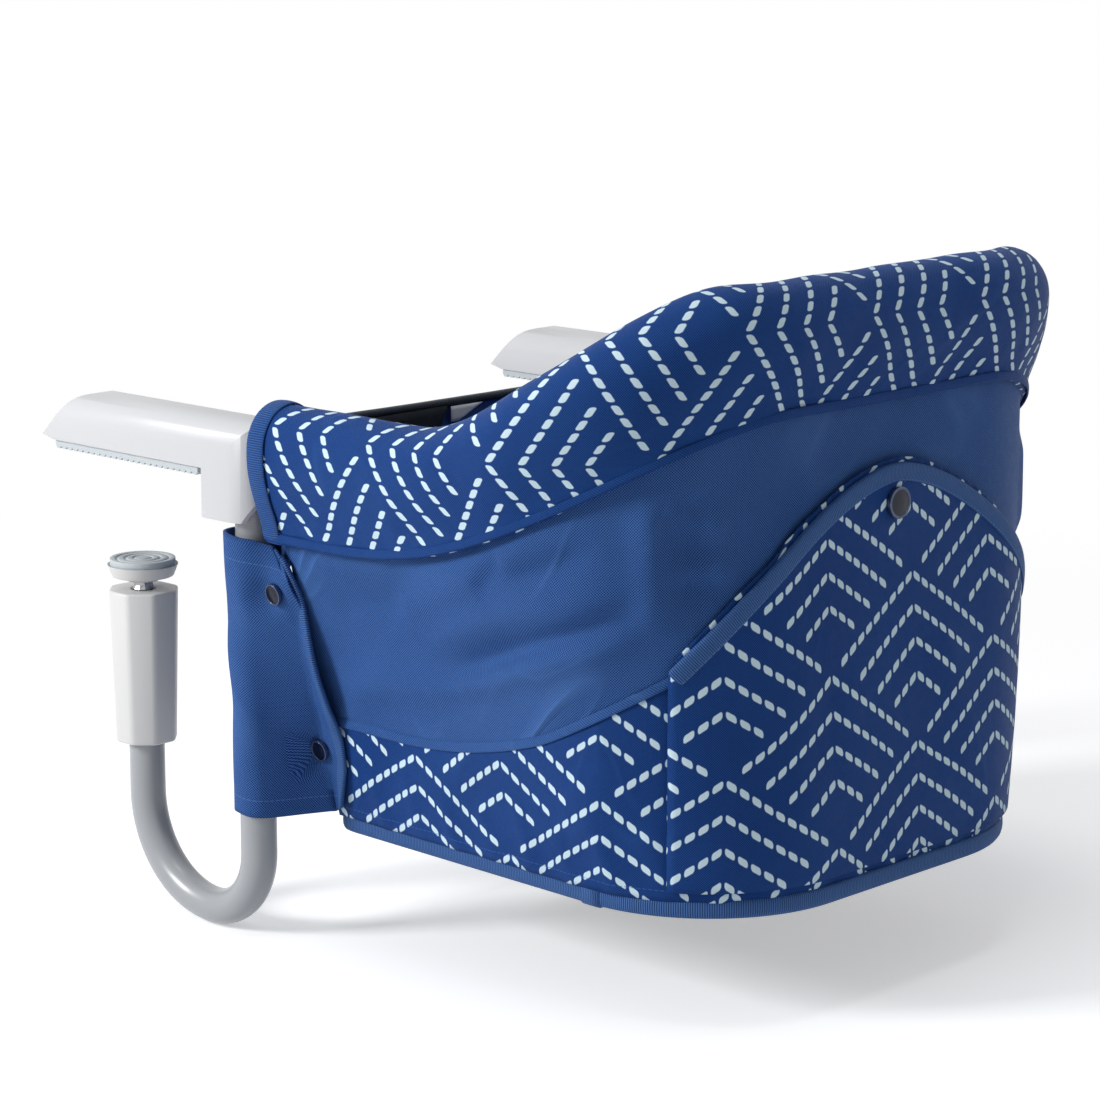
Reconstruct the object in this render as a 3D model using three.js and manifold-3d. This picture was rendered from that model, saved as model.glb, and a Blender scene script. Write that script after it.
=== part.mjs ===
// A clip-on chair for a small child that hangs from the edge of a table.
// Millimetres, +Z up. The table top is the plane z = 0 and its edge the plane y = 0.
// The table lies towards -Y, the seat hangs towards +Y, and +X is the child's left.

import * as THREE from 'three';
import { mergeVertices } from 'three/addons/utils/BufferGeometryUtils.js';
import Module from 'manifold-3d';

const wasm = await Module();
wasm.setup();

// General clearances
const seatGap = 0.3;            // between pieces that rest on or fit into each other
const turnGap = 0.5;            // between pieces that turn or slide on each other
const overrun = 2;              // how far a cutter reaches past the face that it cuts

// Clamp frame
const legSpacing = 340;         // between the two upright leg axes
const legSetback = 19.5;        // leg axis behind the table edge
const tubeDiameter = 19;
const tubeWall = 1.6;
const screwReach = 90;          // leg axis to screw axis
const rearBendRadius = 36.5;    // the tighter bend, under the leg
const legDrop = 236;            // lowest point of the leg's centre line under the table top
const legTop = 25;              // top end of the leg tube above the table top
const screwTubeTop = -98;       // where the tube ends inside the sleeve

// Arms on the table
const armReach = 131;           // nose beyond the table edge
const armWidth = 36;
const armTop = 31;
const armEdgeRadius = 15;       // along both top edges, which leaves a narrow flat between them
const armWall = 2.5;
const armRoof = 3.6;            // thickness over the swivel
const noseLip = 2.4;            // height of the nose's lower corner over the arm's underside
const noseUndercut = 10;        // length of the sloping underside of the nose
const noseRun = 25;             // length of the nose's sloping front
const noseRound = 12;
const skirtDrop = 21;           // skirt that hooks over the table edge
const skirtLength = 28;         // along the bottom of the skirt
const skirtRise = 16;           // height over which its rear edge slopes back

// Grip strip under each arm
const gripThickness = 4.4;
const gripSideStep = 2;         // strip set in from the arm's sides
const gripFrontStep = 9.5;      // strip set back from the nose
const gripRearStep = 5;         // strip ends this far before the table edge
const gripToothCount = 25;
const gripToothDepth = 1.4;
const gripToothTipShare = 0.42; // flat tip as a share of the tooth pitch

// Arm inside
const armPlateThickness = 2.5;
const armScrewRadius = 1.5;
const armScrewHeadRadius = 2.9;
const armScrewHeadHeight = 1.6;
const armScrewLength = 15;
const armScrewInset = 18;       // from each end of the plate
const armBossRadius = 4;
const socketHeight = 12;        // block that holds the leg tube inside the skirt
const spigotLength = 13;        // roof spigot inside the leg tube

// Swivel hub
const hubBottom = -2;
const hubWall = 3.2;
const bushWall = 1.7;
const neckRadius = 11.5;
const neckEnd = 78;             // rear end of the neck, measured from the table edge
const neckBoreStart = 46;
const hoopHeight = 17;          // hoop tube's centre line at the hubs
const hubPinRadius = 2.2;
const hubPinSetback = 63;

// Screw clamp under the table
const tableThickness = 55;      // the thickness that the clamps are set to
const footRadius = 19;
const footPadThickness = 4;
const footDishThickness = 5.5;
const footBossHeight = 2.4;
const footBossRadius = 9;
const screwDownTravel = 4;
const threadPitch = 6;
const threadRoot = 4.9;
const threadCrest = 5.9;
const spindleFlat = 4.5;        // flat that keeps the spindle from turning
const spindleLength = 62;
const spindlePinRadius = 3.5;
const spindlePinLength = 3;
const sleeveLength = 83;
const sleeveBottomWidth = 31.5; // across the flats
const sleeveTopWidth = 36;
const sleeveEdgeBreak = 1.5;
const guideLength = 12;
const clipThickness = 1.6;
const clipWidth = 2.4;
const clipDepth = 12;           // below the tube's end

// Hoop and rim
const hoopRise = 76;            // the hoop climbs this much to the back
const hoopDepth = 291;          // rear centre line of the hoop behind the table edge
const hoopCorner = 96;
const hoopStart = 46.5;         // the tube's ends, inside the hubs
const hoopRiseStart = 143;      // where the climb starts behind the table edge
const hoopRiseRun = 172;        // length of the climb along the hoop
const rimFront = 38.6;          // front ends of the padded rim
const rimTopAboveHoop = 24;
const rimHemBelowHoop = 45;     // at the hubs
const rimRearHemBelowHoop = 40; // at the back
const rimHemStart = 75;
const rimHemPower = 2.3;
const rimFat = 15.5;            // half thickness of the padded part
const rimSkirtOffset = 6;       // middle of the hanging skirt, out from the tube's line
const rimSkirtThickness = 6;
const rimBulge = 3;             // further fullness of its outer side
const rimTaperShare = 0.35;     // how much thinner its outer side gets towards the skirt
const rimSideLevels = 4;        // section points that belong to the outer side

// Seat shell of fabric
const shellThickness = 2.6;
const shellFrontTop = 47;       // front edge of the side walls at the rim
const shellFrontBottom = 44;    // the same at the base
const baseHalfFront = 133;
const baseHalfRear = 137;
const baseFront = 41;
const baseRear = 310;
const baseCorner = 82;
const baseBottom = -190;
const bindingHeight = 10;
const bindingThickness = 3.4;
const bandSeamFront = -127;     // seam between the plain wall and the printed band
const bandSeamRise = 82;
const bandSeamStart = 100;
const bandSeamPower = 1.9;

// Back pocket
const pocketHalfWidth = 142;    // along the wall, from the middle of the back
const pocketTop = 20;
const pocketShoulder = -66;     // where the arch ends at the sides
const pocketBottom = -174;
const pocketArchPower = 1.7;
const pocketThickness = 2.2;
const pocketLay = 0.8;          // how far its edges lie off the wall
const pocketBelly = 3.5;        // how far it stands off in the middle
const pocketBellyPower = 0.6;   // how flat the belly is from side to side
const pocketBellyLowShare = 0.08;
const pocketBellyHighShare = 0.8;
const pocketSnapDrop = 18.5;    // stud under the top of the pocket

// Press studs
const pocketSnapRadius = 8;
const flapSnapRadius = 6.8;
const snapCapHeight = 2.4;
const snapCapTopShare = 0.7;    // its flat top, as a share of its width
const snapPostRadius = 2.4;
const snapBackRadius = 4.5;
const snapBackHeight = 1.4;
const snapGap = 1.1;            // between a stud's flat faces and the curved cloth

// Leg sleeves of fabric: heights, and how far the free edge reaches behind the table edge there
const flapHeights = [-28, -40, -57, -80, -104, -128, -151, -176];
const flapReaches = [39, 46, 52.5, 56.7, 60, 62, 59.4, 51];
const flapThickness = 1.8;
const flapLooseTop = 4.4;       // room between the tube and the cloth at the top
const flapLooseBottom = 1.1;
const flapSeamGap = 1.5;        // between the wall's front edge and the sewn edge
const flapWallGap = 0.7;        // between the wall and the cloth that lies on it
const flapKneeReach = 2;        // where the cloth meets the wall, behind the wall's front edge
const upperStudHeight = -57;
const upperStudShare = 0.62;    // place along the free run between tube and wall
const lowerStudHeight = -143;
const lowerStudShare = 0.74;

// Front panel and seat
const frontBandTop = 29;
const frontBandBottom = -24;
const frontBandTaperTop = 3;    // below this height its ends widen towards the walls
const frontBandThickness = 4;
const frontBandSetback = 43;
const crotchHalfTop = 62;
const crotchHalfWaist = 40;
const crotchHalfBottom = 44;
const boardThickness = 5;
const cushionThickness = 20;
const cushionInset = 9;
const cushionCrown = 5;
const cushionTuck = 4;
const cushionChannelDepth = 3;
const cushionChannelPitch = 62;

// Harness
const webbingWidth = 25;
const webbingThickness = 1.6;
const buckleSetback = 100;      // front end of the buckle behind the table edge
const buckleWidth = 34;
const buckleLength = 40;
const buckleThickness = 11;
const buckleWall = 2;
const buckleRounding = 4;
const windowStart = 12;         // side windows, from the buckle's front end
const windowLength = 14;
const prongWidth = 7.5;
const prongProud = 0.8;         // how far the prongs stand out of the buckle's sides
const stemHalf = 6.6;
const tongueHalf = 30;
const tongueLength = 30;
const tongueThickness = 4;
const tongueSlotStart = 22;
const tongueSlotWidth = 3.6;
const strapRun = 95;            // along the wall from the middle of the back
const strapLift = 4.8;          // waist strap's height over the cushion, at the wall
const strapSag = 2;             // how far it hangs down between the wall and the buckle
const strapRunShares = [0, 0.4, 0.85, 1];
const strapSagShares = [0, 1, 0, 0];
const strapRiseShares = [0, 0.2, 1, 1];
const strapWallGap = 2;         // room for the curve of the wall behind the strap's end

// Faces to a circle, kept low because the fine surface comes from finishing
const fineSides = 20;
const tubeSides = 14;
const smallSides = 12;
const sleeveSides = 8;          // flats of the sleeve, as the real one has

// Derived sizes
const legX = legSpacing / 2;
const tubeRadius = tubeDiameter / 2;
const tubeBore = tubeRadius - tubeWall;
const frontBendRadius = screwReach - rearBendRadius;
const screwY = -screwReach;
const armBottom = gripThickness + seatGap;
const armHalf = armWidth / 2;
const armInsideHalf = armHalf - armWall;
const tableEdge = -legSetback;  // seen from the leg axis
const armInsideEdge = armEdgeRadius - armWall;
const cavityTop = armTop - armRoof;
const hubTop = cavityTop - turnGap;
const bushBore = tubeRadius + seatGap;
const bushRadius = bushBore + bushWall;
const hubBore = bushRadius + seatGap;
const hubRadius = Math.min(hubBore + hubWall, armInsideHalf - turnGap);
const bushTop = hubDomeAt(hubBore);
const footPadTop = -tableThickness;
const footDishTop = footPadTop - footPadThickness - seatGap;
const footDishBottom = footDishTop - footDishThickness;
const footBossBottom = footDishBottom - footBossHeight;
const sleeveTop = footBossBottom - screwDownTravel - turnGap;
const sleeveBottom = sleeveTop - sleeveLength;
const spindleTop = footBossBottom - seatGap;
const spindleBottom = spindleTop - spindleLength;
const boardBottom = baseBottom + bindingHeight / 2 - boardThickness / 2;
const boardTop = boardBottom + boardThickness;
const cushionBottom = boardTop + seatGap;
const cushionTop = cushionBottom + cushionThickness;
const buckleMiddle = cushionTop + turnGap + buckleThickness / 2;
const tongueStart = buckleSetback + buckleLength + turnGap;

// Colours and finishes
const finishes = {
  whitePlastic: { color: 0xf4f4f6, roughness: 0.35, metalness: 0 },
  offWhitePlastic: { color: 0xe9e7e2, roughness: 0.45, metalness: 0 },
  greyRubber: { color: 0xcdd4d6, roughness: 0.7, metalness: 0 },
  paintedSteel: { color: 0xb9bcc0, roughness: 0.35, metalness: 0.3 },
  plainSteel: { color: 0x9a9da1, roughness: 0.3, metalness: 1 },
  nylon: { color: 0xd8d8d2, roughness: 0.5, metalness: 0 },
  printedFabric: { color: 0x24467f, roughness: 0.85, metalness: 0 },
  plainFabric: { color: 0x2f5ca3, roughness: 0.85, metalness: 0 },
  darkFabric: { color: 0x1f2124, roughness: 0.9, metalness: 0 },
  darkStud: { color: 0x1d2740, roughness: 0.25, metalness: 0.2 },
  webbing: { color: 0x26354f, roughness: 0.85, metalness: 0 },
  blackPlastic: { color: 0x1b1c1e, roughness: 0.45, metalness: 0 },
  board: { color: 0x8a8f97, roughness: 0.8, metalness: 0 },
};

// Working with closed meshes

function toSolid(geometry) {
  const bare = geometry.clone();
  bare.deleteAttribute('normal');
  bare.deleteAttribute('uv');
  const merged = mergeVertices(bare, 1e-4);
  const index = merged.index.array;
  const triangles = [];
  for (let i = 0; i < index.length; i += 3) {
    const [a, b, c] = [index[i], index[i + 1], index[i + 2]];
    if (a !== b && b !== c && a !== c) {
      triangles.push(a, b, c);
    }
  }
  return new wasm.Manifold(new wasm.Mesh({
    numProp: 3,
    vertProperties: new Float32Array(merged.attributes.position.array),
    triVerts: new Uint32Array(triangles),
  }));
}

function toGeometry(solid) {
  const mesh = solid.getMesh();
  const geometry = new THREE.BufferGeometry();
  geometry.setAttribute('position', new THREE.BufferAttribute(new Float32Array(mesh.vertProperties), 3));
  geometry.setIndex(Array.from(mesh.triVerts));
  return geometry;
}

function join(...parts) {
  return parts.map(asSolid).reduce((a, b) => a.add(b));
}

function cut(body, ...cutters) {
  return cutters.map(asSolid).reduce((a, b) => a.subtract(b), asSolid(body));
}

function common(...parts) {
  return parts.map(asSolid).reduce((a, b) => a.intersect(b));
}

function asSolid(part) {
  return part.isBufferGeometry ? toSolid(part) : part;
}

function asGeometry(part) {
  return part.isBufferGeometry ? part : toGeometry(part);
}

function meshed(points, triangles) {
  const geometry = new THREE.BufferGeometry();
  const flat = points.flatMap((p) => [p.x, p.y, p.z]);
  geometry.setAttribute('position', new THREE.Float32BufferAttribute(flat, 3));
  geometry.setIndex(triangles);
  return geometry;
}

function flipped(geometry) {
  const index = geometry.index.array.slice();
  for (let i = 0; i < index.length; i += 3) {
    const kept = index[i];
    index[i] = index[i + 1];
    index[i + 1] = kept;
  }
  geometry.setIndex(Array.from(index));
  return geometry;
}

function mirrored(part) {
  const geometry = mergeBare(asGeometry(part).clone());
  geometry.scale(-1, 1, 1);
  return flipped(geometry);
}

function mergeBare(geometry) {
  geometry.deleteAttribute('normal');
  geometry.deleteAttribute('uv');
  return mergeVertices(geometry, 1e-4);
}

// Basic forms

function block(x0, x1, y0, y1, z0, z1) {
  const geometry = new THREE.BoxGeometry(x1 - x0, y1 - y0, z1 - z0);
  return geometry.translate((x0 + x1) / 2, (y0 + y1) / 2, (z0 + z1) / 2);
}

function outlineShape(points) {
  return new THREE.Shape(points.map(([a, b]) => new THREE.Vector2(a, b)));
}

function extruded(shape, depth, curveSegments = 4) {
  return new THREE.ExtrudeGeometry(shape, { depth, bevelEnabled: false, curveSegments });
}

// An outline drawn in (x, y), standing from z0 to z1
function plate(shape, z0, z1, curveSegments) {
  return extruded(shape, z1 - z0, curveSegments).translate(0, 0, z0);
}

// An outline drawn in (y, z), running from x0 to x1
function runAlongX(shape, x0, x1, curveSegments) {
  const basis = new THREE.Matrix4().makeBasis(
    new THREE.Vector3(0, 1, 0), new THREE.Vector3(0, 0, 1), new THREE.Vector3(1, 0, 0));
  return extruded(shape, x1 - x0, curveSegments).applyMatrix4(basis).translate(x0, 0, 0);
}

// An outline drawn in (x, z), running from y0 to y1
function runAlongY(shape, y0, y1, curveSegments) {
  return extruded(shape, y1 - y0, curveSegments).rotateX(Math.PI / 2).translate(0, y1, 0);
}

// A profile of (radius, height) turned about Z
function turned(profile, sides) {
  const points = profile.map(([r, z]) => new THREE.Vector2(r, z));
  return new THREE.LatheGeometry(points, sides).rotateX(Math.PI / 2);
}

function rod(radius, z0, z1, sides = smallSides) {
  return turned([[0, z0], [radius, z0], [radius, z1], [0, z1]], sides);
}

function sleeveRing(inner, outer, z0, z1, sides = smallSides) {
  return turned([[inner, z0], [outer, z0], [outer, z1], [inner, z1], [inner, z0]], sides);
}

function rodAlongY(radius, y0, y1, sides = smallSides) {
  return rod(radius, -y1, -y0, sides).rotateX(Math.PI / 2);
}

function rodAlongX(radius, x0, x1, sides = smallSides) {
  return rod(radius, x0, x1, sides).rotateY(Math.PI / 2);
}

// A rounded rectangle about the origin
function roundedShape(width, height, radius) {
  const shape = new THREE.Shape();
  const [w, h, r] = [width / 2, height / 2, Math.min(radius, width / 2, height / 2)];
  shape.moveTo(-w + r, -h);
  shape.lineTo(w - r, -h);
  shape.absarc(w - r, -h + r, r, -Math.PI / 2, 0);
  shape.lineTo(w, h - r);
  shape.absarc(w - r, h - r, r, 0, Math.PI / 2);
  shape.lineTo(-w + r, h);
  shape.absarc(-w + r, h - r, r, Math.PI / 2, Math.PI);
  shape.lineTo(-w, -h + r);
  shape.absarc(-w + r, -h + r, r, Math.PI, 1.5 * Math.PI);
  return shape;
}

// A body through a row of closed rings, with flat ends
function lofted(rings) {
  const count = rings[0].length;
  const points = rings.flat();
  const triangles = [];
  for (let i = 0; i < rings.length - 1; i += 1) {
    const [a0, b0] = [i * count, (i + 1) * count];
    for (let j = 0; j < count; j += 1) {
      const k = (j + 1) % count;
      triangles.push(a0 + j, a0 + k, b0 + k, a0 + j, b0 + k, b0 + j);
    }
  }
  triangles.push(...capTriangles(rings[0], 0, true));
  triangles.push(...capTriangles(rings[rings.length - 1], (rings.length - 1) * count, false));
  return outwards(meshed(points, triangles));
}

function capTriangles(ring, offset, reversed) {
  const normal = ring.reduce((sum, p, i) => {
    const q = ring[(i + 1) % ring.length];
    return sum.add(new THREE.Vector3().crossVectors(p, q));
  }, new THREE.Vector3()).normalize();
  const side = Math.abs(normal.z) > 0.7 ? new THREE.Vector3(1, 0, 0) : new THREE.Vector3(0, 0, 1);
  const u = new THREE.Vector3().crossVectors(side, normal).normalize();
  const v = new THREE.Vector3().crossVectors(normal, u);
  const flat = ring.map((p) => new THREE.Vector2(p.dot(u), p.dot(v)));
  const faces = THREE.ShapeUtils.triangulateShape(flat, []);
  return faces.flatMap(([a, b, c]) => (reversed ? [a, c, b] : [a, b, c])).map((i) => i + offset);
}

function outwards(geometry) {
  const p = geometry.attributes.position;
  const index = geometry.index.array;
  const [a, b, c] = [new THREE.Vector3(), new THREE.Vector3(), new THREE.Vector3()];
  let volume = 0;
  for (let i = 0; i < index.length; i += 3) {
    a.fromBufferAttribute(p, index[i]);
    b.fromBufferAttribute(p, index[i + 1]);
    c.fromBufferAttribute(p, index[i + 2]);
    volume += a.dot(b.cross(c));
  }
  return volume < 0 ? flipped(geometry) : geometry;
}

// A sheet between two grids of points, outer[i][j] and inner[i][j]
function sheet(outer, inner) {
  const [rows, columns] = [outer.length, outer[0].length];
  const points = [...outer.flat(), ...inner.flat()];
  const half = rows * columns;
  const at = (i, j, side) => side * half + i * columns + j;
  const triangles = [];
  const quad = (a, b, c, d) => triangles.push(a, b, c, a, c, d);
  for (let i = 0; i < rows - 1; i += 1) {
    for (let j = 0; j < columns - 1; j += 1) {
      quad(at(i, j, 0), at(i + 1, j, 0), at(i + 1, j + 1, 0), at(i, j + 1, 0));
      quad(at(i, j, 1), at(i, j + 1, 1), at(i + 1, j + 1, 1), at(i + 1, j, 1));
    }
  }
  for (let i = 0; i < rows - 1; i += 1) {
    quad(at(i, 0, 0), at(i, 0, 1), at(i + 1, 0, 1), at(i + 1, 0, 0));
    const last = columns - 1;
    quad(at(i, last, 0), at(i + 1, last, 0), at(i + 1, last, 1), at(i, last, 1));
  }
  for (let j = 0; j < columns - 1; j += 1) {
    quad(at(0, j, 0), at(0, j + 1, 0), at(0, j + 1, 1), at(0, j, 1));
    quad(at(rows - 1, j, 0), at(rows - 1, j, 1), at(rows - 1, j + 1, 1), at(rows - 1, j + 1, 0));
  }
  return outwards(meshed(points, triangles));
}

// A path whose stations are chosen points, so that straight runs take no extra steps
class StationPath extends THREE.Curve {
  constructor(stations) {
    super();
    this.stations = stations;
  }

  getUtoTmapping(u) {
    return u;
  }

  getPoint(t, target = new THREE.Vector3()) {
    const place = t * (this.stations.length - 1);
    const i = Math.min(Math.floor(place), this.stations.length - 2);
    return target.lerpVectors(this.stations[i], this.stations[i + 1], place - i);
  }

  getTangent(t, target = new THREE.Vector3()) {
    const last = this.stations.length - 1;
    const i = Math.round(t * last);
    const before = this.stations[Math.max(i - 1, 0)];
    const here = this.stations[i];
    const after = this.stations[Math.min(i + 1, last)];
    const arriving = new THREE.Vector3().subVectors(here, before).normalize();
    const leaving = new THREE.Vector3().subVectors(after, here).normalize();
    return target.addVectors(arriving, leaving).normalize();
  }
}

function circleShape(radius, hole, sides) {
  const loop = (r) => Array.from({ length: sides }, (_, i) => {
    const angle = (2 * Math.PI * i) / sides;
    return new THREE.Vector2(r * Math.cos(angle), r * Math.sin(angle));
  });
  const shape = new THREE.Shape(loop(radius));
  if (hole > 0) {
    shape.holes.push(new THREE.Path(loop(hole)));
  }
  return shape;
}

function pipe(stations, radius, hole, sides = tubeSides) {
  const path = new StationPath(stations);
  return new THREE.ExtrudeGeometry(circleShape(radius, hole, sides), {
    steps: stations.length - 1,
    extrudePath: path,
    bevelEnabled: false,
  });
}

// Plan outline of the seat: half of it runs from a front corner round to the middle of the back.
// Stations run from one front end, round the back, to the other front end.
function plan(halfFront, halfRear, front, rear, corner, cornerSteps = 8, sideSteps = 3, rearSteps = 2) {
  const half = [];
  for (let i = 0; i < sideSteps; i += 1) {
    const share = i / sideSteps;
    half.push([
      THREE.MathUtils.lerp(halfFront, halfRear, share),
      THREE.MathUtils.lerp(front, rear - corner, share),
    ]);
  }
  for (let i = 0; i <= cornerSteps; i += 1) {
    const angle = (Math.PI / 2) * (i / cornerSteps);
    half.push([
      halfRear - corner + corner * Math.cos(angle),
      rear - corner + corner * Math.sin(angle),
    ]);
  }
  for (let i = 1; i < rearSteps; i += 1) {
    half.push([(halfRear - corner) * (1 - i / rearSteps), rear]);
  }
  const other = half.map(([x, y]) => [-x, y]).reverse();
  return [...half, [0, rear], ...other];
}

// Outward horizontal normals at the stations of a plan
function planNormals(points) {
  return points.map((_, i) => {
    const a = points[Math.max(i - 1, 0)];
    const b = points[Math.min(i + 1, points.length - 1)];
    const along = new THREE.Vector2(b[0] - a[0], b[1] - a[1]).normalize();
    return [along.y, -along.x];
  });
}

function smoothShare(value) {
  const t = THREE.MathUtils.clamp(value, 0, 1);
  return t * t * (3 - 2 * t);
}

// Run along the hoop from the table edge to a place on its plan
function hoopRunAt(x, y) {
  const [cornerX, cornerY] = [legX - hoopCorner, hoopDepth - hoopCorner];
  if (y <= cornerY) {
    return y;
  }
  return cornerY + hoopCorner * Math.atan2(y - cornerY, Math.max(Math.abs(x) - cornerX, 0));
}

function hoopRiseAt(x, y) {
  return hoopRise * smoothShare((hoopRunAt(x, y) - hoopRiseStart) / hoopRiseRun);
}

// Height of the rim's hem at a place on the hoop's plan
function rimHemAt(y) {
  const share = THREE.MathUtils.clamp((y - rimHemStart) / (hoopDepth - rimHemStart), 0, 1);
  const front = hoopHeight - rimHemBelowHoop;
  const rear = hoopHeight + hoopRise - rimRearHemBelowHoop;
  return front + (rear - front) * share ** rimHemPower;
}

function rimTopAt(x, y) {
  return hoopHeight + hoopRiseAt(x, y) + rimTopAboveHoop;
}

// Pieces of one clamp, drawn about its upright leg axis at the table's height.
// They are drawn for the child's left side, where the seat's middle lies towards -X.

function armSideOutline() {
  const nose = tableEdge - armReach;
  const lip = armBottom + noseLip;
  const rear = armHalf;
  const skirtRear = tableEdge + skirtLength;
  const shape = new THREE.Shape();
  shape.moveTo(nose + noseUndercut, armBottom);
  shape.lineTo(tableEdge, armBottom);
  shape.lineTo(tableEdge, -skirtDrop);
  shape.lineTo(skirtRear, -skirtDrop);
  shape.lineTo(rear, -skirtDrop + skirtRise);
  shape.lineTo(rear, armTop);
  shape.lineTo(nose + noseRun + noseRound, armTop);
  shape.quadraticCurveTo(nose + noseRun, armTop, nose + noseRun - noseRound / 2, armTop - noseRound / 2);
  shape.lineTo(nose, lip);
  return shape;
}

function armPlanOutline(half) {
  const shape = new THREE.Shape();
  shape.moveTo(half, tableEdge - armReach - overrun);
  shape.lineTo(half, 0);
  shape.absarc(0, 0, half, 0, Math.PI);
  shape.lineTo(-half, tableEdge - armReach - overrun);
  return shape;
}

// Section across the arm, of its outside or of the room inside it
function armSectionOutline(half, top, edgeRadius) {
  const shape = new THREE.Shape();
  shape.moveTo(-half, -skirtDrop - overrun);
  shape.lineTo(half, -skirtDrop - overrun);
  shape.lineTo(half, top - edgeRadius);
  shape.absarc(half - edgeRadius, top - edgeRadius, edgeRadius, 0, Math.PI / 2);
  shape.absarc(-half + edgeRadius, top - edgeRadius, edgeRadius, Math.PI / 2, Math.PI);
  return shape;
}

// The way that the hub's neck takes through the arm as the arm swings in
function neckWay() {
  const room = neckRadius + turnGap;
  const far = armHalf + overrun;
  const swing = outlineShape([[0, far], [-far, far], [-far, -room], [0, -room]]);
  return join(
    plate(swing, hoopHeight - room, hoopHeight + room),
    rodAlongY(room, 0, far, tubeSides).translate(0, 0, hoopHeight));
}

function armScrewPlaces() {
  const front = tableEdge - armReach + noseRun;
  const rear = tableEdge - gripRearStep;
  return { front: front + armScrewInset, rear: rear - armScrewInset };
}

function armCavity(z0, z1, shrink) {
  const half = armInsideHalf - shrink;
  const front = tableEdge - armReach + noseRun + shrink;
  const rear = tableEdge - gripRearStep - shrink;
  return block(-half, half, front, rear, z0, z1);
}

function armShell() {
  const body = common(
    runAlongX(armSideOutline(), -armHalf, armHalf),
    plate(armPlanOutline(armHalf), -skirtDrop - overrun, armTop + overrun, fineSides),
    runAlongY(armSectionOutline(armHalf, armTop, armEdgeRadius), tableEdge - armReach - overrun,
      armHalf + overrun));
  const inside = runAlongY(armSectionOutline(armInsideHalf, cavityTop, armInsideEdge),
    tableEdge - armReach, armHalf);
  const places = armScrewPlaces();
  const bosses = Object.values(places).map((y) => cut(
    rod(armBossRadius, armBottom + armPlateThickness + seatGap, armTop - armRoof / 2)
      .translate(0, y, 0),
    rod(armScrewRadius + seatGap, armBottom, armBottom + armScrewLength + overrun)
      .translate(0, y, 0)));
  const hollow = cut(body,
    common(armCavity(armBottom - overrun, cavityTop, 0), inside),
    common(rod(armInsideHalf, hubBottom - turnGap, cavityTop, fineSides), inside),
    neckWay(),
    block(-armInsideHalf, armInsideHalf, tableEdge + armWall, armHalf - armWall,
      -skirtDrop - overrun, hubBottom - turnGap - armWall),
    rod(tubeRadius + seatGap, -skirtDrop - overrun, cavityTop, tubeSides));
  const spigot = rod(tubeBore - seatGap, legTop - spigotLength, armTop - armRoof / 2, tubeSides);
  return join(hollow, spigot, ...bosses);
}

function armPlate() {
  const places = Object.values(armScrewPlaces());
  const top = armBottom + armPlateThickness;
  const headRoom = armScrewHeadHeight + seatGap;
  return cut(armCavity(armBottom, top, seatGap),
    ...places.map((y) => rod(armScrewRadius + seatGap, armBottom - overrun, top + overrun)
      .translate(0, y, 0)),
    ...places.map((y) => rod(armScrewHeadRadius + seatGap, armBottom - overrun, armBottom + headRoom)
      .translate(0, y, 0)));
}

function armScrew() {
  const head = armBottom + armScrewHeadHeight;
  return turned([
    [0, armBottom],
    [armScrewHeadRadius, armBottom],
    [armScrewHeadRadius, head],
    [armScrewRadius, head],
    [armScrewRadius, armBottom + armScrewLength],
    [0, armBottom + armScrewLength],
  ], smallSides);
}

function gripStrip() {
  const front = tableEdge - armReach + gripFrontStep;
  const rear = tableEdge - gripRearStep;
  const pitch = (rear - front) / gripToothCount;
  const tip = pitch * gripToothTipShare;
  const points = [[rear, gripThickness], [front, gripThickness]];
  for (let i = 0; i < gripToothCount; i += 1) {
    const start = front + i * pitch;
    points.push([start, gripToothDepth], [start + (pitch - tip) / 2, 0], [start + (pitch + tip) / 2, 0]);
  }
  points.push([rear, gripToothDepth]);
  const half = armHalf - gripSideStep;
  return runAlongX(outlineShape(points), -half, half);
}

function legSocket() {
  const [front, rear] = [tableEdge + armWall + seatGap, tableEdge + skirtLength - armWall - seatGap];
  const half = armInsideHalf - seatGap;
  const body = common(
    block(-half, half, front, rear, -skirtDrop, -skirtDrop + socketHeight),
    plate(armPlanOutline(half), -skirtDrop - overrun, armTop));
  return cut(body, rod(tubeRadius + seatGap, -skirtDrop - overrun, armTop, tubeSides));
}

function legStations(bendSteps = 6) {
  const stations = [new THREE.Vector3(0, 0, legTop)];
  const rearCentreZ = -legDrop + rearBendRadius;
  const frontCentreZ = -legDrop + frontBendRadius;
  for (let i = 0; i <= bendSteps; i += 1) {
    const angle = (Math.PI / 2) * (i / bendSteps);
    stations.push(new THREE.Vector3(
      0,
      -rearBendRadius + rearBendRadius * Math.cos(angle),
      rearCentreZ - rearBendRadius * Math.sin(angle)));
  }
  for (let i = 1; i <= bendSteps; i += 1) {
    const angle = (Math.PI / 2) * (i / bendSteps);
    stations.push(new THREE.Vector3(
      0,
      -rearBendRadius - frontBendRadius * Math.sin(angle),
      frontCentreZ - frontBendRadius * Math.cos(angle)));
  }
  stations.push(new THREE.Vector3(0, screwY, screwTubeTop));
  return stations;
}

function legTube() {
  return pipe(legStations(), tubeRadius, tubeBore);
}

// Pieces about the screw axis, drawn about their own axis

function sleeveRingAt(width, z) {
  const apothem = width / 2;
  const turn = (2 * Math.PI) / sleeveSides;
  const corner = apothem / Math.cos(turn / 2);
  return Array.from({ length: sleeveSides }, (_, i) => {
    const angle = turn * (i + 0.5);
    return new THREE.Vector3(corner * Math.cos(angle), corner * Math.sin(angle), z);
  });
}

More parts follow.
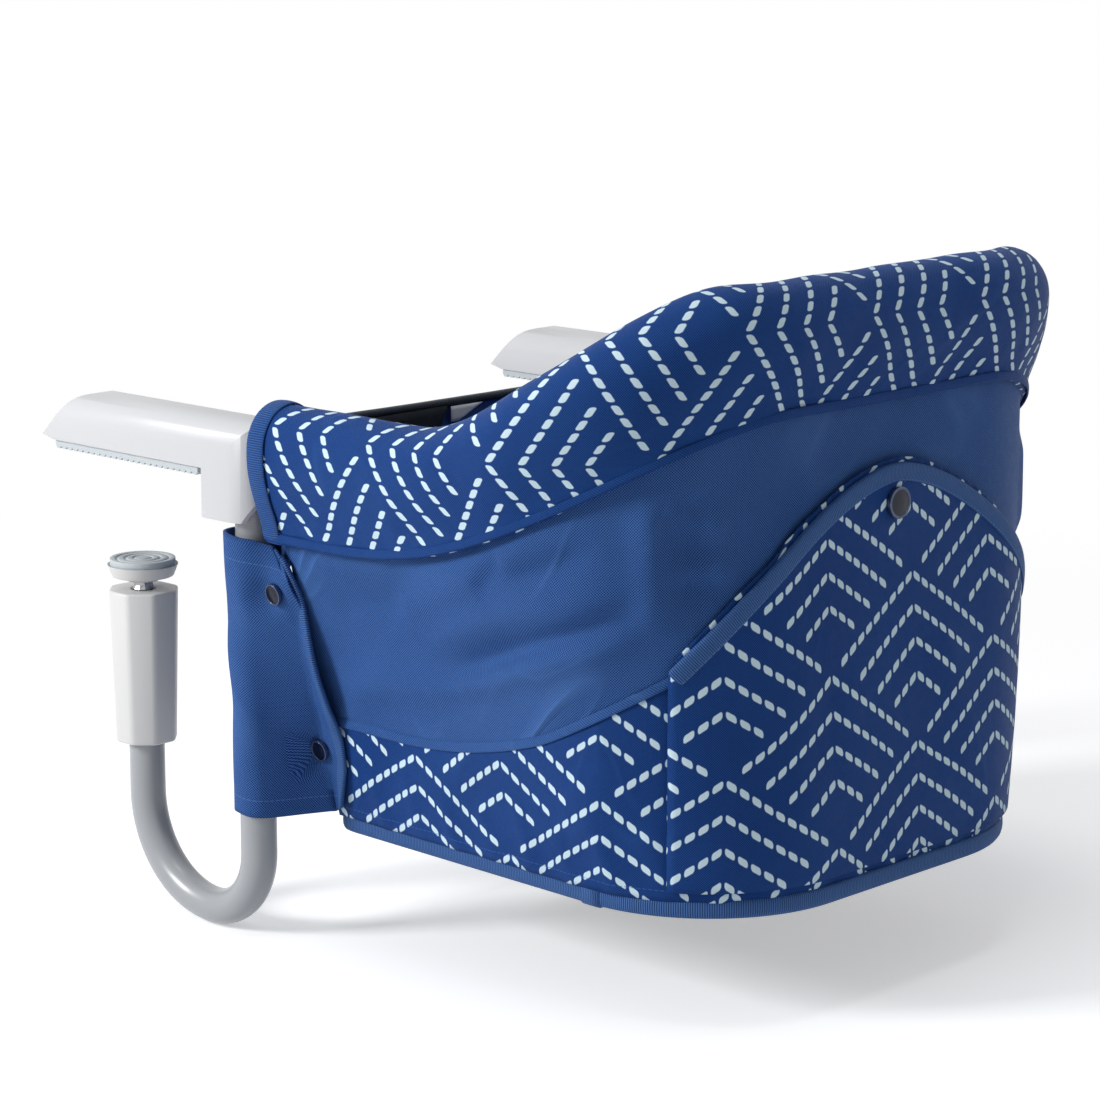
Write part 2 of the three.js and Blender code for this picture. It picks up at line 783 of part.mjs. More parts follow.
function clampSleeve() {
  const body = lofted([
    sleeveRingAt(sleeveBottomWidth - 2 * sleeveEdgeBreak, sleeveBottom),
    sleeveRingAt(sleeveBottomWidth, sleeveBottom + sleeveEdgeBreak),
    sleeveRingAt(sleeveTopWidth, sleeveTop - sleeveEdgeBreak),
    sleeveRingAt(sleeveTopWidth - 2 * sleeveEdgeBreak, sleeveTop),
  ]);
  const clipZ = screwTubeTop - clipDepth;
  return cut(body,
    rod(tubeRadius + turnGap, sleeveBottom - overrun, screwTubeTop + turnGap, tubeSides),
    rod(threadCrest + turnGap, screwTubeTop, sleeveTop + overrun, tubeSides),
    rod(tubeRadius + clipWidth + turnGap, clipZ - turnGap, clipZ + clipThickness + turnGap, tubeSides));
}

function sleeveClip() {
  const z = screwTubeTop - clipDepth;
  return sleeveRing(tubeRadius + seatGap / 2, tubeRadius + clipWidth, z, z + clipThickness, tubeSides);
}

function spindleGuide() {
  const bore = threadCrest + seatGap;
  const flat = spindleFlat + seatGap;
  const opening = common(
    rod(bore, screwTubeTop - guideLength - overrun, screwTubeTop + overrun, tubeSides),
    block(-flat, bore + overrun, -bore - overrun, bore + overrun,
      screwTubeTop - guideLength - overrun, screwTubeTop + overrun));
  return cut(rod(tubeBore - seatGap, screwTubeTop - guideLength, screwTubeTop, tubeSides), opening);
}

// The thread is a wavy surface: its radius depends on the angle and on the height
function spindle() {
  const ringsPerPitch = 3;
  const step = threadPitch / ringsPerPitch;
  const count = Math.floor(spindleLength / step);
  const rings = [];
  for (let i = 0; i <= count; i += 1) {
    const z = spindleBottom + step * i;
    const ends = Math.min(i, count - i) === 0;
    rings.push(Array.from({ length: smallSides }, (_, j) => {
      const angle = (2 * Math.PI * j) / smallSides;
      const wave = 0.5 + 0.5 * Math.cos(angle - (2 * Math.PI * z) / threadPitch);
      const full = threadRoot + (ends ? 0 : (threadCrest - threadRoot) * wave);
      const towardsFlat = Math.max(-Math.cos(angle), spindleFlat / threadCrest / 2);
      const radius = Math.min(full, spindleFlat / towardsFlat);
      return new THREE.Vector3(radius * Math.cos(angle), radius * Math.sin(angle), z);
    }));
  }
  const top = spindleBottom + step * count;
  const pin = rod(spindlePinRadius, top - overrun, spindleTop + spindlePinLength);
  return join(lofted(rings), pin);
}

function footDish() {
  const lip = footPadThickness / 3;
  const body = turned([
    [0, footBossBottom],
    [footBossRadius, footBossBottom],
    [footBossRadius, footDishBottom],
    [footRadius - footDishThickness / 2, footDishBottom],
    [footRadius, footDishBottom + footDishThickness / 2],
    [footRadius, footDishTop + lip],
    [footRadius - armWall / 2, footDishTop + lip],
    [footRadius - armWall / 2, footDishTop],
    [0, footDishTop],
  ], fineSides);
  const pinTop = spindleTop + spindlePinLength + seatGap;
  return cut(body, rod(spindlePinRadius + seatGap, footBossBottom - overrun, pinTop));
}

function footPad() {
  const radius = footRadius - armWall / 2 - seatGap;
  const bottom = footPadTop - footPadThickness;
  return turned([
    [0, bottom],
    [radius, bottom],
    [radius, footPadTop - footPadThickness / 4],
    [radius - footPadThickness / 4, footPadTop],
    [0, footPadTop],
  ], fineSides);
}

// Fixed pieces of the seat frame, drawn in the part's own frame

// Height of the hub's domed top at a distance from its axis, which clears the arm's rounded shoulders
function hubDomeAt(reach) {
  const flat = armInsideHalf - armInsideEdge;
  const edge = armInsideEdge - turnGap;
  return cavityTop - armInsideEdge + Math.sqrt(edge ** 2 - Math.max(reach - flat, 0) ** 2);
}

function hubDome(steps = 6) {
  const flat = armInsideHalf - armInsideEdge;
  const profile = [[0, hubBottom - overrun], [hubRadius, hubBottom - overrun]];
  for (let i = 0; i <= steps; i += 1) {
    const reach = THREE.MathUtils.lerp(hubRadius, flat, i / steps);
    profile.push([reach, hubDomeAt(reach)]);
  }
  return turned([...profile, [0, hubTop]], fineSides);
}

function hub() {
  const barrel = common(rod(hubRadius, hubBottom, hubTop, fineSides), hubDome())
    .translate(0, legSetback, 0);
  const neck = rodAlongY(neckRadius, legSetback, neckEnd, tubeSides).translate(0, 0, hoopHeight);
  return cut(join(barrel, neck),
    rod(hubBore, hubBottom - overrun, hubTop + overrun, tubeSides).translate(0, legSetback, 0),
    rodAlongY(tubeRadius + seatGap, neckBoreStart, neckEnd + overrun, smallSides).translate(0, 0, hoopHeight),
    rodAlongX(hubPinRadius + seatGap, -neckRadius - overrun, neckRadius + overrun)
      .translate(0, hubPinSetback, hoopHeight));
}

function swivelBush() {
  return sleeveRing(bushBore, bushRadius, hubBottom + seatGap, bushTop - seatGap, tubeSides)
    .translate(0, legSetback, 0);
}

function hubPin() {
  const half = neckRadius - seatGap;
  return rodAlongX(hubPinRadius, -half, half).translate(0, hubPinSetback, hoopHeight);
}

function hoopPath() {
  const places = plan(legX, legX, neckEnd, hoopDepth, hoopCorner, 8, 4);
  const stations = places.map(([x, y]) => new THREE.Vector3(x, y, hoopHeight + hoopRiseAt(x, y)));
  const end = (side) => new THREE.Vector3(side * legX, hoopStart, hoopHeight);
  return [end(1), ...stations, end(-1)];
}

function hoopTube() {
  const pinHoles = [-1, 1].map((side) => rodAlongX(hubPinRadius + seatGap, -neckRadius, neckRadius)
    .translate(side * legX, hubPinSetback, hoopHeight));
  return cut(pipe(hoopPath(), tubeRadius, tubeBore, smallSides), ...pinHoles);
}

// Section of the rim as shares: how far out in half thicknesses, and how high between hem and top
const rimOutShares = [0.25, 0.7, 0.98, 1, 0.62, 0, -0.62, -1, -1, -0.55];
const rimHeightShares = [0.14, 0.34, 0.55, 0.78, 0.94, 1, 0.94, 0.78, 0.56, 0.36];

function rimRing(x, y, normal) {
  const hem = rimHemAt(y);
  const top = rimTopAt(x, y);
  const height = top - hem;
  const skirtOut = rimSkirtOffset + rimSkirtThickness / 2;
  const skirtIn = rimSkirtOffset - rimSkirtThickness / 2;
  const at = (out, z) => new THREE.Vector3(x + normal[0] * out, y + normal[1] * out, z);
  const ring = [at(skirtIn, hem), at(skirtOut, hem)];
  rimOutShares.forEach((share, i) => {
    const level = rimHeightShares[i];
    const lower = i < rimSideLevels ? 1 - level / rimHeightShares[rimSideLevels - 1] : 0;
    const fullness = rimFat * (1 - rimTaperShare * lower) + (share > 0 ? rimBulge : 0);
    ring.push(at(share * fullness + skirtOut * lower, hem + height * level));
  });
  ring.push(at(skirtIn - rimSkirtThickness / 3, hem + height * rimHeightShares[0]));
  return ring;
}

const rimPlan = plan(legX, legX, rimFront, hoopDepth, hoopCorner, 8, 4, 3);

function rimPad() {
  const normals = planNormals(rimPlan);
  const rings = rimPlan.map(([x, y], i) => rimRing(x, y, normals[i]));
  const neckRoom = [-1, 1].map((side) => rodAlongY(neckRadius + seatGap, rimFront - overrun,
    neckEnd + overrun, tubeSides).translate(side * legX, 0, hoopHeight));
  return cut(lofted(rings), pipe(hoopPath(), tubeRadius + 2 * seatGap, 0, smallSides), ...neckRoom);
}

// A point of the seat's wall: place runs along the plan from 0 to 1, z is the height
const wallTopHalf = legX + rimSkirtOffset - rimSkirtThickness / 2;
const wallTopRear = hoopDepth + rimSkirtOffset;
const wallTop = plan(wallTopHalf, wallTopHalf, shellFrontTop, wallTopRear, hoopCorner, 8, 4, 3);
const wallBase = plan(baseHalfFront, baseHalfRear, shellFrontBottom, baseRear, baseCorner, 8, 4, 3);

function wallPoint(i, z, out) {
  const hem = hoopHeight - rimHemBelowHoop;
  const share = THREE.MathUtils.clamp((z - baseBottom) / (hem - baseBottom), 0, 1);
  const [a, b] = [wallBase[i], wallTop[i]];
  const normal = wallNormals[i];
  return new THREE.Vector3(
    THREE.MathUtils.lerp(a[0], b[0], share) + normal[0] * out,
    THREE.MathUtils.lerp(a[1], b[1], share) + normal[1] * out,
    z);
}

const wallNormals = planNormals(wallTop);

function bandSeamAt(y) {
  const share = THREE.MathUtils.clamp((y - bandSeamStart) / (baseRear - bandSeamStart), 0, 1);
  return bandSeamFront + bandSeamRise * share ** bandSeamPower;
}

function wallSheet(lowAt, highAt, rows, out = 0, thickness = shellThickness) {
  const columns = wallTop.map((_, i) => {
    const y = wallTop[i][1];
    const [low, high] = [lowAt(y, i), highAt(y, i)];
    return Array.from({ length: rows + 1 }, (__, j) => THREE.MathUtils.lerp(low, high, j / rows));
  });
  const outer = columns.map((heights, i) => heights.map((z) => wallPoint(i, z, out)));
  const inner = columns.map((heights, i) => heights.map((z) => wallPoint(i, z, out - thickness)));
  return sheet(outer, inner);
}

function upperPanel() {
  return cut(wallSheet((y) => bandSeamAt(y) + seatGap, (y, i) => rimHemAt(rimPlan[i][1]) - turnGap, 3),
    pocketStud().hole);
}

function lowerBand() {
  return wallSheet(() => baseBottom + bindingHeight + seatGap, (y) => bandSeamAt(y), 2);
}

function baseShape(inset) {
  const places = plan(baseHalfFront - inset, baseHalfRear - inset, baseFront + inset, baseRear - inset,
    baseCorner - inset, 8, 1, 1);
  return outlineShape(places);
}

function baseBoard() {
  return plate(baseShape(bindingThickness + seatGap), boardBottom, boardTop);
}

function baseBinding() {
  const body = plate(baseShape(0), baseBottom, baseBottom + bindingHeight);
  const slot = plate(baseShape(bindingThickness), boardBottom - seatGap, boardTop + seatGap);
  const opening = plate(baseShape(2 * bindingThickness), baseBottom - overrun,
    baseBottom + bindingHeight + overrun);
  return cut(body, slot, opening);
}

const cushionSteps = 6;         // faces across the cushion

function cushionRing(inset, z) {
  const places = plan(baseHalfFront - inset, baseHalfRear - inset, baseFront + inset, baseRear - inset,
    baseCorner - inset, 6, 4, 2);
  const [left, right] = [places[0], places[places.length - 1]];
  for (let i = 1; i < cushionSteps; i += 1) {
    places.push([THREE.MathUtils.lerp(right[0], left[0], i / cushionSteps), left[1]]);
  }
  return places.map(([x, y]) => new THREE.Vector3(x, y, z));
}

// The cushion's side pulls in at its seams, and its top is crowned with sewn channels across it
function seatCushion() {
  const levels = [0, 0.3, 0.75, 1];
  const tucks = [cushionTuck, 0, 0, cushionTuck];
  const rings = levels.map((level, i) => cushionRing(
    cushionInset + tucks[i], cushionBottom + (cushionThickness - cushionCrown) * level));
  const count = rings[0].length;
  const points = rings.flat();
  const triangles = [];
  for (let i = 0; i < rings.length - 1; i += 1) {
    for (let j = 0; j < count; j += 1) {
      const k = (j + 1) % count;
      const [a, b] = [i * count, (i + 1) * count];
      triangles.push(a + j, a + k, b + k, a + j, b + k, b + j);
    }
  }
  const middle = points.length;
  points.push(new THREE.Vector3(0, (baseFront + baseRear) / 2, cushionBottom));
  for (let j = 0; j < count; j += 1) {
    triangles.push((j + 1) % count, j, middle);
  }
  const rows = cushionRows(points, (rings.length - 1) * count, count);
  for (let i = 0; i < rows.length - 1; i += 1) {
    const [a, b] = [rows[i], rows[i + 1]];
    for (let j = 0; j < cushionSteps; j += 1) {
      if (b.length === 1) {
        triangles.push(a[j + 1], a[j], b[0]);
      } else {
        triangles.push(a[j + 1], a[j], b[j + 1], b[j + 1], a[j], b[j]);
      }
    }
  }
  return outwards(meshed(points, triangles));
}

// Rows of points across the cushion's top, from its front edge to the middle of its back
function cushionRows(points, start, count) {
  const outline = count - (cushionSteps - 1);
  const half = (outline - 1) / 2;
  const front = Array.from({ length: cushionSteps - 1 }, (_, i) => start + count - 1 - i);
  const rows = [[start, ...front, start + outline - 1]];
  for (let i = 1; i < half; i += 1) {
    const [left, right] = [start + i, start + outline - 1 - i];
    const row = [left];
    for (let j = 1; j < cushionSteps; j += 1) {
      const point = new THREE.Vector3().lerpVectors(points[left], points[right], j / cushionSteps);
      point.z = cushionTopAt(point.x, point.y);
      row.push(points.length);
      points.push(point);
    }
    rows.push([...row, right]);
  }
  return [...rows, [start + half]];
}

function cushionTopAt(x, y) {
  const across = 1 - (x / (baseHalfRear - cushionInset)) ** 2;
  const middle = (baseFront + baseRear) / 2;
  const along = 1 - ((y - middle) / ((baseRear - baseFront) / 2)) ** 2;
  const channel = Math.cos((Math.PI * (y - middle)) / cushionChannelPitch) ** 2;
  const crown = cushionCrown * Math.sqrt(Math.max(across * along, 0));
  return cushionTop - cushionCrown + crown - cushionChannelDepth * (1 - channel) * Math.max(across * along, 0);
}

// Back pocket: a patch that follows the wall, stands off in the middle and is arched on top
function pocketArchAt(share) {
  return pocketShoulder + (pocketTop - pocketShoulder) * (1 - Math.abs(share) ** pocketArchPower);
}

function wallLengths(z) {
  const points = wallTop.map((_, i) => wallPoint(i, z, 0));
  const lengths = [0];
  for (let i = 1; i < points.length; i += 1) {
    lengths.push(lengths[i - 1] + points[i].distanceTo(points[i - 1]));
  }
  return { points, lengths };
}

// A point on the wall at a given run along it from the middle of the back
function wallAt(run, z, out) {
  const { points, lengths } = wallLengths(z);
  const place = lengths[lengths.length - 1] / 2 - run;
  let i = 0;
  while (i < lengths.length - 2 && lengths[i + 1] < place) {
    i += 1;
  }
  const share = THREE.MathUtils.clamp((place - lengths[i]) / (lengths[i + 1] - lengths[i]), 0, 1);
  const point = new THREE.Vector3().lerpVectors(points[i], points[i + 1], share);
  const [a, b] = [wallNormals[i], wallNormals[i + 1]];
  const normal = new THREE.Vector2(
    THREE.MathUtils.lerp(a[0], b[0], share), THREE.MathUtils.lerp(a[1], b[1], share)).normalize();
  return point.add(new THREE.Vector3(normal.x * out, normal.y * out, 0));
}

function pocketStandOff(share, level) {
  const side = Math.cos((Math.PI / 2) * Math.min(Math.abs(share), 1)) ** pocketBellyPower;
  const height = THREE.MathUtils.lerp(pocketBellyLowShare, pocketBellyHighShare, level);
  return seatGap + pocketLay + pocketBelly * side * Math.sin(Math.PI * height);
}

function backPocket() {
  const [columns, rows] = [16, 6];
  const outer = [];
  const inner = [];
  for (let i = 0; i <= columns; i += 1) {
    const share = (2 * i) / columns - 1;
    const [low, high] = [pocketBottom, pocketArchAt(share)];
    const outerColumn = [];
    const innerColumn = [];
    for (let j = 0; j <= rows; j += 1) {
      const level = j / rows;
      const z = THREE.MathUtils.lerp(low, high, level);
      const out = pocketStandOff(share, level);
      outerColumn.push(wallAt(share * pocketHalfWidth, z, out + pocketThickness));
      innerColumn.push(wallAt(share * pocketHalfWidth, z, out));
    }
    outer.push(outerColumn);
    inner.push(innerColumn);
  }
  return cut(sheet(outer, inner), pocketStud().hole);
}

// A press stud: cap outside, post through two layers, washer behind the second one.
// The centre lies on the outer face of the outer layer. Reach is the way to the inner face of the inner one.
function stud(centre, outward, capRadius, reach) {
  const turn = new THREE.Quaternion().setFromUnitVectors(new THREE.Vector3(0, 0, 1), outward);
  const place = new THREE.Matrix4().compose(centre, turn, new THREE.Vector3(1, 1, 1));
  const back = -reach - snapGap;
  const body = turned([
    [0, back - snapBackHeight],
    [snapBackRadius, back - snapBackHeight],
    [snapBackRadius, back],
    [snapPostRadius, back],
    [snapPostRadius, snapGap],
    [capRadius, snapGap],
    [capRadius, snapGap + snapCapHeight / 2],
    [capRadius * snapCapTopShare, snapGap + snapCapHeight],
    [0, snapGap + snapCapHeight],
  ], smallSides);
  const hole = rod(snapPostRadius + seatGap, back - overrun, overrun, smallSides);
  return { body: body.applyMatrix4(place), hole: hole.applyMatrix4(place) };
}

function pocketStud() {
  const z = pocketTop - pocketSnapDrop;
  const level = (z - pocketBottom) / (pocketTop - pocketBottom);
  const out = pocketStandOff(0, level) + pocketThickness;
  return stud(wallAt(0, z, out), new THREE.Vector3(0, 1, 0), pocketSnapRadius, out + shellThickness);
}

function between(heights, values, z) {
  let i = 0;
  while (i < heights.length - 2 && heights[i + 1] > z) {
    i += 1;
  }
  const share = (z - heights[i]) / (heights[i + 1] - heights[i]);
  return THREE.MathUtils.lerp(values[i], values[i + 1], share);
}

// Plan of one leg sleeve at a height, on the child's left: from its seam at the wall,
// round the front of the tube and back along the outside of the wall
function flapPlan(z) {
  const [top, bottom] = [flapHeights[0], flapHeights[flapHeights.length - 1]];
  const loose = THREE.MathUtils.lerp(flapLooseBottom, flapLooseTop, ((z - bottom) / (top - bottom)) ** 2);
  const radius = tubeRadius + loose + flapThickness / 2;
  const centre = new THREE.Vector2(legX, legSetback);
  const edge = wallPoint(0, z, 0);
  const reach = between(flapHeights, flapReaches, z);
  const start = new THREE.Vector2(edge.x - shellThickness / 2, edge.y - flapSeamGap);
  const onWall = edge.x + flapWallGap + flapThickness / 2;
  const knee = new THREE.Vector2(onWall, Math.min(edge.y + flapKneeReach, reach - flapThickness * 2));
  const end = new THREE.Vector2(onWall + flapWallGap * 2, reach);
  const tangent = (point, side) => {
    const way = point.clone().sub(centre);
    return way.angle() + side * Math.acos(Math.min(radius / way.length(), 1));
  };
  const first = tangent(start, 1);
  const last = tangent(knee, -1) + 2 * Math.PI;
  const steps = 9;
  const arc = Array.from({ length: steps + 1 }, (_, i) => {
    const angle = THREE.MathUtils.lerp(first, last, i / steps);
    return new THREE.Vector2(radius * Math.cos(angle), radius * Math.sin(angle)).add(centre);
  });
  return { start, arc, knee, end };
}

function flapRows(offset) {
  return flapHeights.map((z) => {
    const { start, arc, knee, end } = flapPlan(z);
    const line = [start, ...arc, knee, end];
    return line.map((point, i) => {
      const along = line[Math.min(i + 1, line.length - 1)].clone().sub(line[Math.max(i - 1, 0)]).normalize();
      return new THREE.Vector3(point.x + along.y * offset, point.y - along.x * offset, z);
    });
  });
}

function flapStud(z, share) {
  const { start, arc, knee } = flapPlan(z);
  const tube = arc[arc.length - 1];
  const along = knee.clone().sub(tube).normalize();
  const outward = new THREE.Vector2(along.y, -along.x);
  const place = tube.clone().lerp(knee, share).addScaledVector(outward, flapThickness / 2);
  // Distance from there to the inner run of the sleeve, which is a straight line
  const run = arc[0].clone().sub(start);
  const normal = new THREE.Vector2(run.y, -run.x).normalize();
  const facing = Math.abs(outward.dot(normal));
  const lean = Math.sqrt(1 - facing ** 2) / facing;
  const distance = (Math.abs(place.clone().sub(start).dot(normal)) + flapThickness / 2) / facing;
  return stud(new THREE.Vector3(place.x, place.y, z), new THREE.Vector3(outward.x, outward.y, 0),
    flapSnapRadius, distance + snapBackRadius * lean);
}

function legSleeve() {
  const cloth = sheet(flapRows(flapThickness / 2), flapRows(-flapThickness / 2));
  const studs = [flapStud(upperStudHeight, upperStudShare), flapStud(lowerStudHeight, lowerStudShare)];
  return cut(cloth, ...studs.map(({ hole }) => hole));
}

function frontBand() {
  const end = legX - rimFat - 2 * seatGap;
  const wide = legX - 2 * seatGap;
  const shape = outlineShape([
    [-wide, frontBandBottom], [wide, frontBandBottom], [end, frontBandTaperTop],
    [end, frontBandTop], [-end, frontBandTop], [-end, frontBandTaperTop],
  ]);
  return runAlongY(shape, frontBandSetback, frontBandSetback + frontBandThickness);
}

function crotchPanel() {
  const [top, bottom] = [frontBandBottom - seatGap, baseBottom + bindingHeight + seatGap];
  const middle = (top + bottom) / 2;
  const shape = new THREE.Shape();
  shape.moveTo(-crotchHalfBottom, bottom);
  shape.lineTo(crotchHalfBottom, bottom);
  shape.quadraticCurveTo(crotchHalfWaist, middle, crotchHalfTop, top);
  shape.lineTo(-crotchHalfTop, top);
  shape.quadraticCurveTo(-crotchHalfWaist, middle, -crotchHalfBottom, bottom);
  return runAlongY(shape, frontBandSetback, frontBandSetback + frontBandThickness, 5);
}

// A strap that lies flat: its middle line is drawn as (run, height), and runs along +Y
function strap(line) {
  const edge = (side) => line.map((point, i) => {
    const before = line[Math.max(i - 1, 0)];
    const along = line[Math.min(i + 1, line.length - 1)].clone().sub(before).normalize();
    const half = (side * webbingThickness) / 2;
    return [point.x - along.y * half, point.y + along.x * half];
  });
  const outline = outlineShape([...edge(-1), ...edge(1).reverse()]);
  return runAlongX(outline, -webbingWidth / 2, webbingWidth / 2);
}

function waistStrap() {
  const high = cushionTop + strapLift;
  const start = wallAt(strapRun, high, -shellThickness - strapWallGap);
  const barTop = buckleMiddle + tongueThickness / 2 + seatGap + webbingThickness / 2;
  const finish = new THREE.Vector3(tongueSlotStart + tongueSlotWidth, tongueStart + tongueLength / 2, high);
  const way = finish.clone().sub(start);
  const line = strapRunShares.map((share, i) => new THREE.Vector2(
    way.length() * share,
    THREE.MathUtils.lerp(high, barTop, strapRiseShares[i]) - strapSag * strapSagShares[i]));
  return strap(line).rotateZ(Math.atan2(-way.x, way.y)).translate(start.x, start.y, 0);
}

function crotchStrap() {
  const panel = frontBandSetback + frontBandThickness + turnGap + webbingThickness / 2;
  const high = cushionTop + webbingWidth;
  return strap([
    new THREE.Vector2(panel, high),
    new THREE.Vector2(panel + webbingThickness, high - webbingWidth / 2),
    new THREE.Vector2((panel + buckleSetback) / 2, buckleMiddle - webbingThickness),
    new THREE.Vector2(buckleSetback + buckleWall * 2, buckleMiddle),
  ]);
}

function buckleSocket() {
  const half = buckleThickness / 2;
  const inner = half - buckleWall;
  const rear = buckleSetback + buckleLength;
  const windowFront = buckleSetback + windowStart;
  const outline = roundedShape(buckleWidth, buckleLength, buckleRounding);
  const body = plate(outline, buckleMiddle - half, buckleMiddle + half)
    .translate(0, buckleSetback + buckleLength / 2, 0);
  const sideWall = buckleWidth / 2 - buckleWall;
  return cut(body,
    block(-sideWall, sideWall, buckleSetback + buckleWall * 3, rear + overrun,
      buckleMiddle - inner, buckleMiddle + inner),
    block(-buckleWidth, buckleWidth, windowFront, windowFront + windowLength,
      buckleMiddle - inner, buckleMiddle + inner),
    block(-webbingWidth / 2 - seatGap, webbingWidth / 2 + seatGap, buckleSetback - overrun,
      buckleSetback + buckleWall * 2 + seatGap, buckleMiddle - webbingThickness / 2 - seatGap * 2,
      buckleMiddle + webbingThickness / 2 + seatGap * 2));
}

function buckleTongue() {
  const half = tongueThickness / 2;
  const stem = block(-stemHalf, stemHalf, buckleSetback + buckleWall * 3 + turnGap, tongueStart + overrun,
    buckleMiddle - half, buckleMiddle + half);
  const plateBody = plate(roundedShape(2 * tongueHalf, tongueLength, buckleRounding),
    buckleMiddle - half, buckleMiddle + half).translate(0, tongueStart + tongueLength / 2, 0);
  const slots = [-1, 1].map((side) => {
    const [a, b] = [side * tongueSlotStart, side * (tongueSlotStart + tongueSlotWidth)];
    const [front, rear] = [tongueStart + buckleWall, tongueStart + tongueLength - buckleWall];
    return block(Math.min(a, b), Math.max(a, b), front, rear,
      buckleMiddle - buckleThickness, buckleMiddle + buckleThickness);
  });
  return cut(join(stem, plateBody), ...slots);
}

function buckleProng() {
  const half = buckleThickness / 2 - buckleWall - seatGap;
  const outer = buckleWidth / 2 + prongProud;
  const front = buckleSetback + windowStart + seatGap;
  return block(outer - prongWidth, outer, front, front + windowLength - 2 * seatGap,
    buckleMiddle - half, buckleMiddle + half);
}

const group = new THREE.Group();

function add(parent, name, part, finish) {
  const mesh = new THREE.Mesh(asGeometry(part), new THREE.MeshStandardMaterial(finish));
  mesh.name = name;
  parent.add(mesh);
  return mesh;
}

for (const [sideName, side] of [['left', 1], ['right', -1]]) {
  const handed = (part) => (side > 0 ? part : mirrored(part));
  const clamp = new THREE.Group();
  clamp.position.set(side * legX, legSetback, 0);
  group.add(clamp);
  const places = armScrewPlaces();
  add(clamp, `${sideName}_arm_shell`, handed(armShell()), finishes.whitePlastic);
  add(clamp, `${sideName}_arm_plate`, armPlate(), finishes.offWhitePlastic);
  for (const [end, y] of Object.entries(places)) {
    add(clamp, `${sideName}_arm_screw_${end}`, armScrew(), finishes.plainSteel).position.y = y;
  }
  add(clamp, `${sideName}_grip_strip`, gripStrip(), finishes.greyRubber);
  add(clamp, `${sideName}_leg_socket`, legSocket(), finishes.offWhitePlastic);
  add(clamp, `${sideName}_leg_tube`, legTube(), finishes.paintedSteel);
  const screw = new THREE.Group();
  screw.position.set(0, screwY, 0);
  clamp.add(screw);
  add(screw, `${sideName}_clamp_sleeve`, clampSleeve(), finishes.whitePlastic);
  add(screw, `${sideName}_sleeve_clip`, sleeveClip(), finishes.plainSteel);
  add(screw, `${sideName}_spindle_guide`, spindleGuide(), finishes.nylon);
  add(screw, `${sideName}_spindle`, spindle(), finishes.plainSteel);
  add(screw, `${sideName}_foot_dish`, footDish(), finishes.offWhitePlastic);
  add(screw, `${sideName}_foot_pad`, footPad(), finishes.greyRubber);
  const fixed = new THREE.Group();
  fixed.position.set(side * legX, 0, 0);
  group.add(fixed);
  add(fixed, `${sideName}_hub`, hub(), finishes.offWhitePlastic);
  add(fixed, `${sideName}_swivel_bush`, swivelBush(), finishes.nylon);
  add(fixed, `${sideName}_hub_pin`, hubPin(), finishes.plainSteel);
}

for (const [sideName, handed] of [['left', (part) => part], ['right', mirrored]]) {
  add(group, `${sideName}_leg_sleeve`, handed(legSleeve()), finishes.plainFabric);
  const upperStud = flapStud(upperStudHeight, upperStudShare).body;
  const lowerStud = flapStud(lowerStudHeight, lowerStudShare).body;
  add(group, `${sideName}_upper_stud`, handed(upperStud), finishes.darkStud);
  add(group, `${sideName}_lower_stud`, handed(lowerStud), finishes.darkStud);
  add(group, `${sideName}_waist_strap`, handed(waistStrap()), finishes.webbing);
  add(group, `buckle_${sideName}_prong`, handed(buckleProng()), finishes.blackPlastic);
}
add(group, 'pocket_stud', pocketStud().body, finishes.darkStud);
add(group, 'front_band', frontBand(), finishes.plainFabric);
add(group, 'crotch_panel', crotchPanel(), finishes.plainFabric);
add(group, 'crotch_strap', crotchStrap(), finishes.webbing);
add(group, 'buckle_socket', buckleSocket(), finishes.blackPlastic);
add(group, 'buckle_tongue', buckleTongue(), finishes.blackPlastic);
add(group, 'hoop_tube', hoopTube(), finishes.paintedSteel);
add(group, 'rim_pad', rimPad(), finishes.printedFabric);
add(group, 'upper_panel', upperPanel(), finishes.plainFabric);
add(group, 'lower_band', lowerBand(), finishes.printedFabric);
add(group, 'back_pocket', backPocket(), finishes.printedFabric);
add(group, 'base_board', baseBoard(), finishes.board);
add(group, 'base_binding', baseBinding(), finishes.plainFabric);
add(group, 'seat_cushion', seatCushion(), finishes.plainFabric);

export default group;
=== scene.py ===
import math
import bmesh
import bpy
from mathutils import Matrix, Vector, noise


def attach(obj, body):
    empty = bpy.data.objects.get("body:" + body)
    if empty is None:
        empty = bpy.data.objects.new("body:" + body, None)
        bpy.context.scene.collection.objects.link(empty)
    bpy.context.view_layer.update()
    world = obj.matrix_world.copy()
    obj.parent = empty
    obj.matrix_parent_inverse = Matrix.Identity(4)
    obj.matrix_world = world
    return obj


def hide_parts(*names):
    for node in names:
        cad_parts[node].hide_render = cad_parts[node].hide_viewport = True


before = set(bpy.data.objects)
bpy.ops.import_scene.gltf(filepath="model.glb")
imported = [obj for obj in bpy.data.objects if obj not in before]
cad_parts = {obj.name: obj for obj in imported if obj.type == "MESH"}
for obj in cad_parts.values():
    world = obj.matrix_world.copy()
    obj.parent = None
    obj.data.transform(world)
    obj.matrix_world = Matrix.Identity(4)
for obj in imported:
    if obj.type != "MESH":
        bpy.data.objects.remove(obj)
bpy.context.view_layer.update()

# Sizes are written in millimetres and made metres when a mesh is built.
# The table's top is z = 0 and its edge y = 0, the seat hangs towards +Y, +X is the child's left.
mm = 0.001
print("frame loaded,", len(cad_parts), "solids")


# Small sums

def lerp(a, b, share):
    return a + (b - a) * share


def clamp(value, low=0.0, high=1.0):
    return max(low, min(high, value))


def smooth(value):
    t = clamp(value)
    return t * t * (3 - 2 * t)


